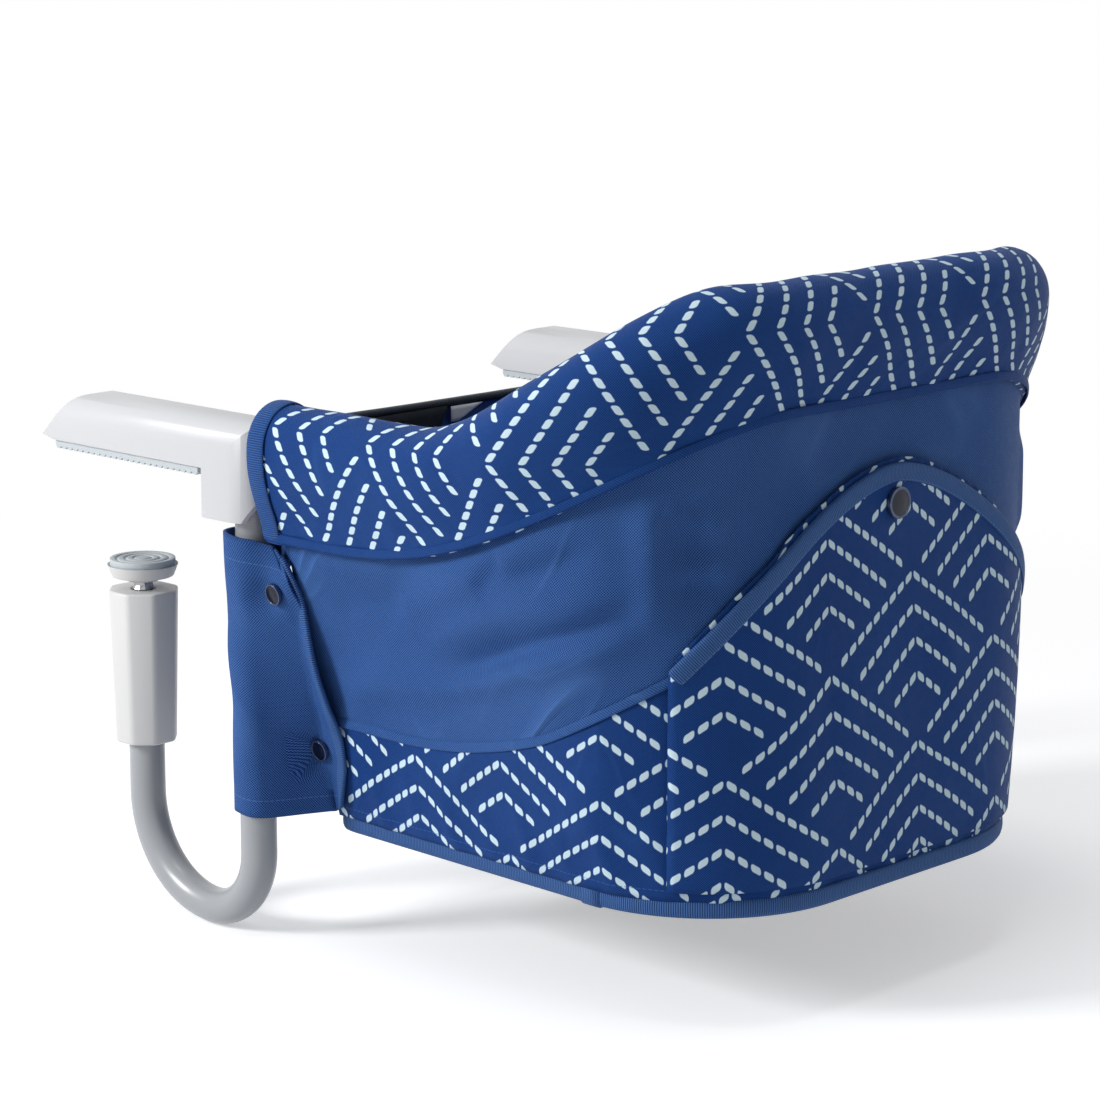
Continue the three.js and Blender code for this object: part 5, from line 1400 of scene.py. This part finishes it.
def makeFlaps():
    shape = flapShape
    count = shape["insideSteps"] + shape["arcSteps"] + shape["outsideSteps"] + shape["freeSteps"]
    rows = []
    cloth = []
    for i in range(shape["rows"] + 1):
        row = [flapPoint(j, i / shape["rows"]) for j in range(count + 1)]
        length = runs(row)
        rows.append(row)
        cloth.append([(length[j], (1 - i / shape["rows"]) * shape["tall"])
                      for j in range(count + 1)])
    sleeve = skin("left_leg_cover", rows, cloth, flapCloth)
    outerSide(sleeve, (seat["legX"], seat["legY"]))

    def creases(place, normal):
        soft = noise.noise(Vector((place.x, place.y * 1.4, place.z * 0.5)) / 20)
        pull = math.exp(-((place.z + 100) / 46) ** 2) * math.sin(place.z / 7.5 + place.y / 9) * 0.45
        return 1.2 * soft + pull
    pushed(sleeve, creases)
    # Each stud holds the cloth flat against its mate on the wall
    for z, share in shape["studs"]:
        place, outward = studPlace(z, share)
        for vertex in sleeve.data.vertices:
            way = vertex.co / mm - place
            off = way.dot(outward)
            reach = (way - outward * off).length
            if abs(off) < 14 and reach < shape["studDimple"]:
                vertex.co -= outward * (off + 1.4) * smooth(1.5 * (1 - reach
                                                                   / shape["studDimple"])) * mm
    edge = []
    for i in range(shape["rows"] + 1):
        place = rows[i][-1]
        inward = (rows[i][-2] - rows[i][-1]).normalized()
        along = (rows[min(i + 1, shape["rows"])][-1] - rows[max(i - 1, 0)][-1]).normalized()
        away = -(inward - along * inward.dot(along)).normalized()
        edge.append((place, away, away.cross(along).normalized()))
    tape = swept("left_leg_tape", edge, shape["tape"], edgeTape)
    thickened(sleeve, shape["thickness"], 0)
    subdivided(tape)
    for side in ("left", "right"):
        cover = sleeve if side == "left" else flippedOver(sleeve, "right_leg_cover")
        binding = tape if side == "left" else flippedOver(tape, "right_leg_tape")
        standsFor(cover, [f"{side}_leg_sleeve"], "seat_frame")
        standsFor(binding, [], "seat_frame")


makeFlaps()
print("leg sleeves made")


# Press studs

studShape = {"height": 2.4, "rim": 0.13, "dish": 0.35, "swell": 0.55, "post": 2.2, "sides": 40}


def pressStud(name, place, outward, radius, material, nodes):
    shape = studShape
    stud = rod(name, radius, (0, 0, 0), (0, 0, shape["height"]), shape["sides"], material)
    stud.data.materials.append(studRim)
    pickFaces(stud, lambda c, n: n.z > 0.9)
    bpy.ops.mesh.inset(thickness=radius * shape["rim"] * mm)
    bpy.ops.mesh.inset(thickness=radius * 0.05 * mm)
    bpy.ops.transform.translate(value=(0, 0, -shape["dish"] * mm))
    for share, lift in ((0.28, 0.7), (0.3, 0.3)):
        bpy.ops.mesh.inset(thickness=radius * share * mm)
        bpy.ops.transform.translate(value=(0, 0, shape["swell"] * lift * mm))
    pickFaces(stud, lambda c, n: n.z < -0.9)
    bpy.ops.mesh.inset(thickness=(radius - shape["post"]) * mm)
    bpy.ops.mesh.extrude_region_move(TRANSFORM_OT_translate={"value": (0, 0, -3.0 * mm)})
    bpy.ops.object.mode_set(mode="OBJECT")
    softEdges(stud, 0.3, 3, 30)
    for face in stud.data.polygons:
        onRim = face.center.xy.length / mm > radius * (1 - shape["rim"])
        face.material_index = 1 if onRim and face.center.z > 0.5 * mm else 0
    turn = Vector(outward).to_track_quat("Z", "Y").to_matrix().to_4x4()
    stud.data.transform(Matrix.Translation(Vector(place) * mm) @ turn)
    standsFor(stud, nodes, "seat_frame")
    return stud


def makeStuds():
    shape = pocketShape
    z = shape["top"] - 18.5
    level = (z - shape["bottom"]) / (shape["top"] - shape["bottom"])
    place, normal = wallAt(0, z, pocketOut(0, level) + 0.4)
    pressStud("pocketStud", place, normal, 8.0, studMetal, ["pocket_stud"])
    for label, (z, share) in zip(("upper", "lower"), flapShape["studs"]):
        place, outward = studPlace(z, share)
        for side, sign in (("left", 1), ("right", -1)):
            pressStud(f"{side}_{label}_press", (place.x * sign, place.y, place.z),
                      (outward.x * sign, outward.y, outward.z), flapShape["studRadius"], studEnamel,
                      [f"{side}_{label}_stud"])


makeStuds()
print("studs made")


# Front band between the arms' inner ends, and the panel between the child's legs

frontShape = {
    "top": 29.0, "bottom": -24.0, "end": 153.9, "endLow": 169.4, "taper": 3.0, "y": 45.0,
    "thickness": 3.2,
    "padOut": 1.6, "columns": 60, "rows": 14, "sag": 1.5,
    "blackFrom": 58.0, "blackTo": 127.0, "blackLow": -6.0,
    "crotchTop": 62.0, "crotchWaist": 40.0, "crotchLow": 44.0,
}


def makeFront():
    shape = frontShape
    rows = []
    cloth = []
    for i in range(shape["rows"] + 1):
        level = i / shape["rows"]
        z = lerp(shape["bottom"], shape["top"], level)
        wide = lerp(shape["endLow"], shape["end"],
                    clamp((z - shape["bottom"]) / (shape["taper"] - shape["bottom"])))
        row = []
        for j in range(shape["columns"] + 1):
            x = lerp(wide, -wide, j / shape["columns"])
            puff = shape["padOut"] * math.sin(math.pi * level) * (1 - (x / 170) ** 4)
            wave = 0.5 * noise.noise(Vector((x, 0, z)) / 24)
            droop = shape["sag"] * (1 - (x / wide) ** 2) * (1 if level > 0.99 else level)
            row.append(Vector((x, shape["y"] - 2 + puff * 0.6 + wave, z - droop)))
        rows.append(row)
        cloth.append([(p.x, p.z) for p in row])
    band = skin("frontBand", rows, cloth, plainCloth)
    thickened(band, shape["thickness"], -1)
    standsFor(band, ["front_band"], "seat_frame")

    section = [(-1.0, -2.6), (1.2, -2.6), (2.2, -1.4), (2.2, 2.0), (1.2, 2.8), (-0.4, 2.8),
               (-1.4, 2.0), (-1.4, -1.4)]
    top = rows[-1]
    stations = [(p + Vector((0, 1.4, 0)), Vector((0, 0, 1)), Vector((0, 1, 0))) for p in top]
    tape = swept("frontTopTape", stations, section, blackTape)
    standsFor(tape, [], "seat_frame")
    for side, sign in (("left", 1), ("right", -1)):
        grid = []
        spots = []
        for i in range(9):
            z = lerp(shape["blackLow"], shape["top"] - 1.0, i / 8)
            slant = lerp(0, 17, i / 8)
            grid.append([Vector((sign * lerp(shape["blackTo"], shape["blackFrom"] + 17 - slant,
                                             j / 14),
                                 shape["y"] + 2.4 + 0.5
                                 * noise.noise(Vector((j * 9.0, i * 7.0, 3.0)) / 20), z - 1.2))
                         for j in range(15)])
            spots.append([(p.x, p.z) for p in grid[-1]])
        black = skin(f"{side}_front_facing", grid, spots, blackCloth)
        if sign < 0:
            black.data.flip_normals()
        thickened(black, 1.2, 0)
        standsFor(black, [], "seat_frame")
        lining = []
        spots = []
        for i in range(5):
            z = lerp(shape["top"] - 11, shape["top"] - 3.0, i / 4)
            lining.append([Vector((sign * lerp(shape["blackFrom"] - 3, 32 + 18 * (1 - i / 4),
                                               j / 6), shape["y"] + 2.5, z))
                           for j in range(7)])
            spots.append([(p.x, p.z) for p in lining[-1]])
        patch = skin(f"{side}_front_lining", lining, spots, liningCloth)
        if sign < 0:
            patch.data.flip_normals()
        thickened(patch, 0.8, 0)
        standsFor(patch, [], "seat_frame")

    rows = []
    cloth = []
    top, bottom = shape["bottom"] + 2, seat["baseBottom"] + 9.0
    for i in range(25):
        level = i / 24
        z = lerp(bottom, top, level)
        half = lerp(lerp(shape["crotchLow"], shape["crotchWaist"], level),
                    lerp(shape["crotchWaist"], shape["crotchTop"], level), level)
        row = [Vector((lerp(half, -half, j / 20),
                       shape["y"] + 0.8 + 1.2 * noise.noise(Vector((j * 5.0, 9.0, z)) / 30), z))
               for j in range(21)]
        rows.append(row)
        cloth.append([(p.x, p.z) for p in row])
    panel = skin("crotchPanel", rows, cloth, plainCloth)
    thickened(panel, 2.6, 0)
    standsFor(panel, ["crotch_panel"], "seat_frame")
    for side, column in (("left", 0), ("right", -1)):
        stations = []
        for i in range(25):
            place = rows[i][column]
            along = (rows[min(i + 1, 24)][column] - rows[max(i - 1, 0)][column]).normalized()
            away = Vector((along.z, 0, -along.x)) * (1 if side == "left" else -1)
            stations.append((place, away, Vector((0, 1, 0))))
        tape = swept(f"{side}_crotch_tape", stations, flapShape["tape"], edgeTape)
        subdivided(tape)
        standsFor(tape, [], "seat_frame")


blackTape = tapeMaterial("blackTape", looks["black"], colour(64, 66, 70), pitch=1.2, stitchLine=3.2)
makeFront()
print("front band and crotch panel made")


# Harness

harness = {
    "width": 25.0, "thickness": 1.6, "middle": -156.2, "socketFront": 100.0, "socketLength": 40.0,
    "socketWidth": 34.0,
    "socketHeight": 11.0, "tongueHalf": 30.0, "tongueStart": 140.5, "tongueLength": 30.0,
    "slot": 22.0, "slotWidth": 3.6,
    "strapRun": 95.0, "wallGap": 2.0, "lift": 4.8, "sag": 2.0,
    "barGap": 0.3, "strapHalf": 0.8, "strapSteps": 28,
    # The crotch web's way from the panel over the cushion: (y, z)
    "crotchRoute": [(48.3, -137), (49.1, -143), (51.5, -151), (62, -156.6), (76, -158.2),
                    (92, -157.0),
                    (104, -156.2)],
}


def strapPiece(name, line, across, material, nodes, body="seat_frame"):
    shape = harness
    half, thick = shape["width"] / 2, shape["thickness"] / 2
    section = [(-half, -thick * 0.5), (-half + 0.8, -thick), (half - 0.8, -thick),
               (half, -thick * 0.5),
               (half, thick * 0.5), (half - 0.8, thick), (-half + 0.8, thick), (-half, thick * 0.5)]
    stations = []
    for i, place in enumerate(line):
        along = (line[min(i + 1, len(line) - 1)] - line[max(i - 1, 0)]).normalized()
        side = (across - along * across.dot(along)).normalized()
        stations.append((place, side, along.cross(side).normalized()))
    strap = swept(name, stations, section, material)
    return standsFor(strap, nodes, body)


def makeHarness():
    shape = harness
    high = cushionShape["bottom"] + cushionShape["thickness"] + shape["lift"]
    barTop = shape["middle"] + buckle["half"] + shape["barGap"] + shape["strapHalf"]
    for side, sign in (("left", 1), ("right", -1)):
        start = wallAt(sign * shape["strapRun"], high, -seat["wallThickness"] - shape["wallGap"])[0]
        slotX = sign * (shape["slot"] + shape["slotWidth"])
        finish = Vector((slotX, shape["tongueStart"] + shape["tongueLength"] / 2, high))
        way = finish - start
        across = Vector((-way.y, way.x, 0)).normalized()
        line = []
        for i in range(shape["strapSteps"] + 1):
            share = i / shape["strapSteps"]
            rise = smooth((share - 0.35) / 0.5)
            sag = shape["sag"] * math.sin(math.pi * clamp(share / 0.8)) ** 2
            line.append(start + way * share + Vector((0, 0, (barTop - high) * rise - sag)))
        strapPiece(f"{side}_waist_web", line, across, strapCloth, [f"{side}_waist_strap"])
    points = [Vector((0, y, z)) for y, z in shape["crotchRoute"]]
    strapPiece("crotchWeb", curved(points, 6), Vector((1, 0, 0)), strapCloth, ["crotch_strap"])


# Buckle: a hollow socket, a flat tongue with two slots, and the presses at its sides

buckle = {
    "wall": 2.0, "corner": 4.0, "chamber": 6.0, "window": (12.0, 26.0), "mouthHalf": 12.8,
    "mouthHigh": 1.4,
    "markHalf": 9.0, "markLong": 3.0, "markDeep": 0.6, "over": 2.0,
    "half": 2.0, "tongueCorner": 5.0, "slotEdge": 2.0, "stemHalf": 6.6, "stemStart": 6.5,
    "press": 7.5, "proud": 0.8, "play": 0.3, "dent": 0.5, "dentEdge": 1.4,
}


def uprightEdge(a, b):
    return abs(a.x - b.x) < 0.01 and abs(a.y - b.y) < 0.01


def makeBuckle():
    shape = harness
    middle, wall, over, play = shape["middle"], buckle["wall"], buckle["over"], buckle["play"]
    low = middle - shape["socketHeight"] / 2
    high = middle + shape["socketHeight"] / 2
    front, rear = shape["socketFront"], shape["socketFront"] + shape["socketLength"]
    near, far = [front + way for way in buckle["window"]]
    half = shape["socketWidth"] / 2
    mouth, mouthHigh, mark = buckle["mouthHalf"], buckle["mouthHigh"], buckle["markHalf"]
    socket = box("buckleSocket", (-half, front, low), (half, rear, high), blackPlastic)
    rounded(socket, uprightEdge, buckle["corner"], 6)
    for cut in (((-half + wall, front + buckle["chamber"], low + wall),
                 (half - wall, rear + over, high - wall)),
                ((-2 * half, near, low + wall), (2 * half, far, high - wall)),
                ((-mouth, front - over, middle - mouthHigh),
                 (mouth, front + buckle["chamber"] + 1, middle + mouthHigh)),
                ((-mark, near, high - buckle["markDeep"]),
                 (mark, near + buckle["markLong"], high + over))):
        combined(socket, box("cut", *cut))
    softEdges(socket, 0.7, 3)
    standsFor(socket, ["buckle_socket"], "seat_frame")
    start, wide, thick = shape["tongueStart"], shape["tongueHalf"], buckle["half"]
    end = start + shape["tongueLength"]
    tongue = box("buckleTongue", (-wide, start, middle - thick), (wide, end, middle + thick),
                 blackPlastic)
    rounded(tongue, uprightEdge, buckle["tongueCorner"], 6)
    edge, stem = buckle["slotEdge"], buckle["stemHalf"]
    for sign in (-1, 1):
        a, b = sorted((sign * shape["slot"], sign * (shape["slot"] + shape["slotWidth"])))
        combined(tongue, box("cut", (a, start + edge, middle - 3 * thick),
                             (b, end - edge, middle + 3 * thick)))
    combined(tongue, box("stem", (-stem, front + buckle["stemStart"], middle - thick),
                         (stem, start + edge, middle + thick)), "UNION")
    softEdges(tongue, 0.6, 2)
    standsFor(tongue, ["buckle_tongue"], "seat_frame")
    for side, sign in (("left", 1), ("right", -1)):
        out = half + buckle["proud"]
        a, b = sorted((sign * (out - buckle["press"]), sign * out))
        prong = box(f"{side}_press", (a, near + play, low + wall + play),
                    (b, far - play, high - wall - play),
                    blackPlastic)
        pickFaces(prong, lambda c, n: n.x * sign > 0.9)
        bpy.ops.mesh.inset(thickness=buckle["dentEdge"] * mm)
        dent = -sign * buckle["dent"]
        bpy.ops.mesh.extrude_region_move(TRANSFORM_OT_translate={"value": (dent * mm, 0, 0)})
        bpy.ops.object.mode_set(mode="OBJECT")
        softEdges(prong, 0.5, 2)
        standsFor(prong, [f"buckle_{side}_prong"], f"{side}_prong")


makeHarness()
makeBuckle()
print("harness made")


# Arms that lie on the table. One is shaped and the other is its mirror image.

armShape = {
    "reach": 131.0, "half": 18.0, "top": 31.0, "under": 4.7, "edge": 14.9, "rear": 37.5,
    "skirt": -21.0,
    "skirtLength": 28.0, "skirtRise": 16.0, "lip": 7.1, "undercut": 10.0, "noseRun": 25.0,
    "noseRound": 12.0,
    "wall": 2.5, "roof": 27.4, "hubRoom": 15.5, "neckRoom": 12.0, "edgeBreak": 0.9,
    # Hollows: the plate's, the hub's, the neck's and the one its quarter turn needs
    "roomSetback": 25.0, "roomFloor": 2.0, "roomEnd": -5.0, "hubFloor": -2.5, "neckLevel": 17.0,
    "swingReach": 22.0, "socketFloor": -24.0, "socketPlay": 0.4,
    "noseCuts": (0.2, 0.4, 0.6, 0.8, 1.0),
}


# True for the two long edges of an arm or a hollow at its top
def longEdgeAt(level):
    return lambda a, b: abs(a.y - b.y) > 20 and min(a.z, b.z) > level - 0.01


def noseCurve(share):
    shape = armShape
    nose = -shape["reach"]
    a = Vector((nose + shape["noseRun"] + shape["noseRound"], shape["top"]))
    b = Vector((nose + shape["noseRun"], shape["top"]))
    c = Vector((nose + shape["noseRun"] - shape["noseRound"] / 2,
                shape["top"] - shape["noseRound"] / 2))
    point = a * (1 - share) ** 2 + b * 2 * share * (1 - share) + c * share ** 2
    way = ((b - a) * (1 - share) + (c - b) * share).normalized()
    return point, Vector((way.y, -way.x))


def makeArm():
    shape = armShape
    x, half = seat["legX"], shape["half"]
    nose, rear = -shape["reach"], shape["rear"]
    arm = box("left_arm_cover", (x - half, nose - 5, shape["skirt"]),
              (x + half, rear, shape["top"]), whitePlastic)
    rounded(arm, longEdgeAt(shape["top"]), shape["edge"], 12)
    stadium = box("plan", (x - half - 0.001, nose - 9, shape["skirt"] - 5),
                  (x + half + 0.001, rear, shape["top"] + 5))
    rounded(stadium, lambda a, b: abs(a.z - b.z) > 20 and min(a.y, b.y) > rear - 0.01, half - 0.01,
            20)
    combined(arm, stadium, "INTERSECT")
    for share in shape["noseCuts"]:
        point, normal = noseCurve(share)
        slicedOff(arm, (x, point.x, point.y), (0, -abs(normal.x), abs(normal.y)))
    lip = Vector((nose, shape["lip"]))
    top = Vector(noseCurve(1.0)[0])
    way = (top - lip).normalized()
    slicedOff(arm, (x, lip.x, lip.y), (0, -way.y, way.x))
    way = Vector((shape["undercut"], shape["under"] - shape["lip"])).normalized()
    slicedOff(arm, (x, lip.x, lip.y), (0, way.y, -way.x))
    way = Vector((rear - shape["skirtLength"], shape["skirtRise"])).normalized()
    slicedOff(arm, (x, shape["skirtLength"], shape["skirt"]), (0, way.y, -way.x))
    combined(arm, box("under", (x - 30, nose - 20, -40), (x + 30, 0, shape["under"])))
    softEdges(arm, shape["edgeBreak"], 3, 45)
    inner = half - shape["wall"]
    legY = seat["legY"]
    roof, end = shape["roof"], shape["roomEnd"]
    plateRoom = box("plateRoom", (x - inner, nose + shape["roomSetback"], shape["roomFloor"]),
                    (x + inner, end, roof))
    hubRoom = rod("hubRoom", shape["hubRoom"], (x, legY, shape["hubFloor"]), (x, legY, roof), 64)
    for room in (plateRoom, hubRoom):
        within = box("within", (x - inner, nose, -30), (x + inner, rear, roof))
        rounded(within, longEdgeAt(roof), shape["edge"] - shape["wall"], 10)
        combined(room, within, "INTERSECT")
        combined(arm, room)
    neck, middle, reach = shape["neckRoom"], shape["neckLevel"], shape["swingReach"]
    combined(arm, rod("neckRoom", neck, (x, legY, middle), (x, legY + reach, middle), 48))
    combined(arm, box("swingRoom", (x - reach, legY - neck, middle - neck),
                      (x, legY + reach, middle + neck)))
    combined(arm, rod("socketRoom", inner - shape["socketPlay"], (x, legY, shape["socketFloor"]),
                      (x, legY, end), 64))
    onlyThis(arm)
    bpy.ops.object.shade_smooth_by_angle(angle=math.radians(40))
    other = flippedOver(arm, "right_arm_cover")
    standsFor(arm, ["left_arm_shell"], "left_clamp")
    standsFor(other, ["right_arm_shell"], "right_clamp")


makeArm()
print("arms made")


# Leg tubes, bent twice into a hook

tubeShape = {"radius": 9.5, "wall": 1.6, "top": 25.0, "rearBend": 36.5, "frontBend": 53.5,
             "drop": 236.0, "end": -98.0,
             "sides": 48, "bendSteps": 20}


def makeTube():
    shape = tubeShape
    x, y = seat["legX"], seat["legY"]
    bpy.ops.object.select_all(action="DESELECT")
    bpy.ops.mesh.primitive_circle_add(vertices=shape["sides"], radius=shape["radius"] * mm,
                                      location=(x * mm, y * mm, shape["top"] * mm))
    tube = settled(bpy.context.object, "left_leg_pipe", tubePaint)
    bottom = -shape["drop"] + shape["rearBend"]
    editing(tube, "VERT")
    bpy.ops.mesh.select_all(action="SELECT")
    for z in (-20.0, -90.0, -150.0, bottom):
        step = z - shapeEnd(tube)
        bpy.ops.mesh.extrude_region_move(TRANSFORM_OT_translate={"value": (0, 0, step * mm)})
    bpy.ops.mesh.spin(steps=shape["bendSteps"], angle=math.pi / 2, axis=(1, 0, 0),
                      center=(x * mm, (y - shape["rearBend"]) * mm, bottom * mm))
    low = -shape["drop"] + shape["frontBend"]
    bpy.ops.mesh.spin(steps=shape["bendSteps"], angle=math.pi / 2, axis=(1, 0, 0),
                      center=(x * mm, (y - shape["rearBend"]) * mm, low * mm))
    bpy.ops.mesh.extrude_region_move(TRANSFORM_OT_translate={"value": (0, 0, (shape["end"] - low)
                                                                       * mm)})
    bpy.ops.object.mode_set(mode="OBJECT")
    weld(tube)
    faceOut(tube)
    # The open pipe is long and thin, so a point far outside tells whether its faces look outwards
    outer = max(tube.data.polygons, key=lambda face: face.center.y)
    if outer.normal.y < 0:
        tube.data.flip_normals()
    onlyThis(tube)
    wall = tube.modifiers.new("wall", "SOLIDIFY")
    wall.thickness = shape["wall"] * mm
    wall.offset = -1
    bpy.ops.object.modifier_apply(modifier=wall.name)
    bpy.ops.object.shade_smooth_by_angle(angle=math.radians(40))
    other = flippedOver(tube, "right_leg_pipe")
    standsFor(tube, ["left_leg_tube"], "left_clamp")
    standsFor(other, ["right_leg_tube"], "right_clamp")


def shapeEnd(piece):
    work = bmesh.from_edit_mesh(piece.data)
    picked = [v.co.z for v in work.verts if v.select]
    return sum(picked) / len(picked) / mm


makeTube()
print("leg tubes made")


# Grip sleeves that turn the clamps: eight flats, wider at the top

sleeveShape = {"bottom": -154.7, "top": -71.7, "bottomAcross": 31.5, "topAcross": 36.0,
               "bore": 10.0, "topBore": 6.4,
               "boreDepth": 30.0, "sides": 8}


def makeSleeve():
    shape = sleeveShape
    x, y = seat["legX"], seat["legY"] - 90.0
    turn = math.pi / shape["sides"]
    radius = shape["topAcross"] / 2 / math.cos(turn)
    sleeve = rod("left_grip_cover", radius, (x, y, shape["bottom"]), (x, y, shape["top"]),
                 shape["sides"], sleevePlastic)
    start = min(math.atan2(v.co.y - y * mm, v.co.x - x * mm) % (2 * turn)
                for v in sleeve.data.vertices)
    sleeve.data.transform(Matrix.Translation(Vector((x, y, 0))
                                             * mm) @ Matrix.Rotation(turn - start, 4, "Z")
                          @ Matrix.Translation(Vector((-x, -y, 0)) * mm))
    pickFaces(sleeve, lambda c, n: n.z < -0.9)
    share = shape["bottomAcross"] / shape["topAcross"]
    bpy.ops.transform.resize(value=(share, share, 1))
    bpy.ops.object.mode_set(mode="OBJECT")
    rounded(sleeve, lambda a, b: abs(a.z - b.z) > 20, 2.2, 3)
    pickFaces(sleeve, lambda c, n: n.z < -0.9)
    bpy.ops.mesh.inset(thickness=4.2 * mm)
    bpy.ops.mesh.extrude_region_move(TRANSFORM_OT_translate={"value": (0, 0, shape["boreDepth"]
                                                                       * mm)})
    bpy.ops.object.mode_set(mode="OBJECT")
    combined(sleeve, rod("bore", shape["topBore"], (x, y, -100), (x, y, shape["top"] + 5), 40))
    softEdges(sleeve, 1.1, 3, 50)
    other = flippedOver(sleeve, "right_grip_cover")
    standsFor(sleeve, ["left_clamp_sleeve"], "left_grip_sleeve")
    standsFor(other, ["right_clamp_sleeve"], "right_grip_sleeve")


makeSleeve()
print("sleeves made")


# Feet that press up under the table

footShape = {"dishBottom": -64.8, "dishTop": -59.3, "radius": 19.0, "bossRadius": 9.0,
             "bossBottom": -67.2,
             "padRadius": 17.4, "padBottom": -59.0, "padTop": -55.0, "lip": 1.3, "rings": 3,
             "bossTaper": 0.86,
             # Each ring on the pad: how far in, and how far down or up
             "ringSteps": [(2.6, 0), (0.5, -0.7), (0.9, 0), (0.5, 0.7)]}


def makeFoot():
    shape = footShape
    x, y = seat["legX"], seat["legY"] - seat["screwReach"]
    dish = rod("left_foot_cup", shape["radius"], (x, y, shape["dishBottom"]),
               (x, y, shape["dishTop"] + shape["lip"]),
               64, partPlastic)
    pickFaces(dish, lambda c, n: n.z < -0.9)
    taper = shape["bossTaper"]
    bpy.ops.transform.resize(value=(taper, taper, 1))
    bpy.ops.mesh.inset(thickness=(shape["radius"] * taper - shape["bossRadius"]) * mm)
    drop = shape["bossBottom"] - shape["dishBottom"]
    bpy.ops.mesh.extrude_region_move(TRANSFORM_OT_translate={"value": (0, 0, drop * mm)})
    pickFaces(dish, lambda c, n: n.z > 0.9)
    bpy.ops.mesh.inset(thickness=(shape["radius"] - shape["padRadius"] - 0.3) * mm)
    bpy.ops.transform.translate(value=(0, 0, -shape["lip"] * mm))
    bpy.ops.object.mode_set(mode="OBJECT")
    softEdges(dish, 0.6, 3, 30)
    pad = rod("left_foot_rubber", shape["padRadius"], (x, y, shape["padBottom"]),
              (x, y, shape["padTop"]), 64, gripRubber)
    pickFaces(pad, lambda c, n: n.z > 0.9)
    for width, lift in shape["ringSteps"] * shape["rings"]:
        bpy.ops.mesh.inset(thickness=width * mm)
        if lift:
            bpy.ops.transform.translate(value=(0, 0, lift * mm))
    bpy.ops.object.mode_set(mode="OBJECT")
    softEdges(pad, 0.3, 2, 30)
    for left, kind, slot in ((dish, "foot_dish", "off_white_plastic"),
                             (pad, "foot_pad", "grey_rubber")):
        right = flippedOver(left, left.name.replace("left", "right"))
        standsFor(left, [f"left_{kind}"], "left_foot")
        standsFor(right, [f"right_{kind}"], "right_foot")


makeFoot()
print("feet made")


# Solids whose shape is right keep it and get a better finish

keptFinishes = {
    "arm_plate": partPlastic, "arm_screw_front": bareSteel, "arm_screw_rear": bareSteel,
    "grip_strip": gripRubber,
    "leg_socket": partPlastic, "sleeve_clip": bareSteel, "spindle_guide": guideNylon,
    "spindle": bareSteel,
    "hub": partPlastic, "swivel_bush": guideNylon, "hub_pin": bareSteel,
}


def finishKept():
    for side in ("left", "right"):
        for label, material in keptFinishes.items():
            for slot in bpy.data.objects[f"{side}_{label}"].material_slots:
                slot.material = material
    for label, material in (("hoop_tube", tubePaint), ("base_board", boardFibre)):
        for slot in bpy.data.objects[label].material_slots:
            slot.material = material


finishKept()
print("kept solids finished")

print("scene done")
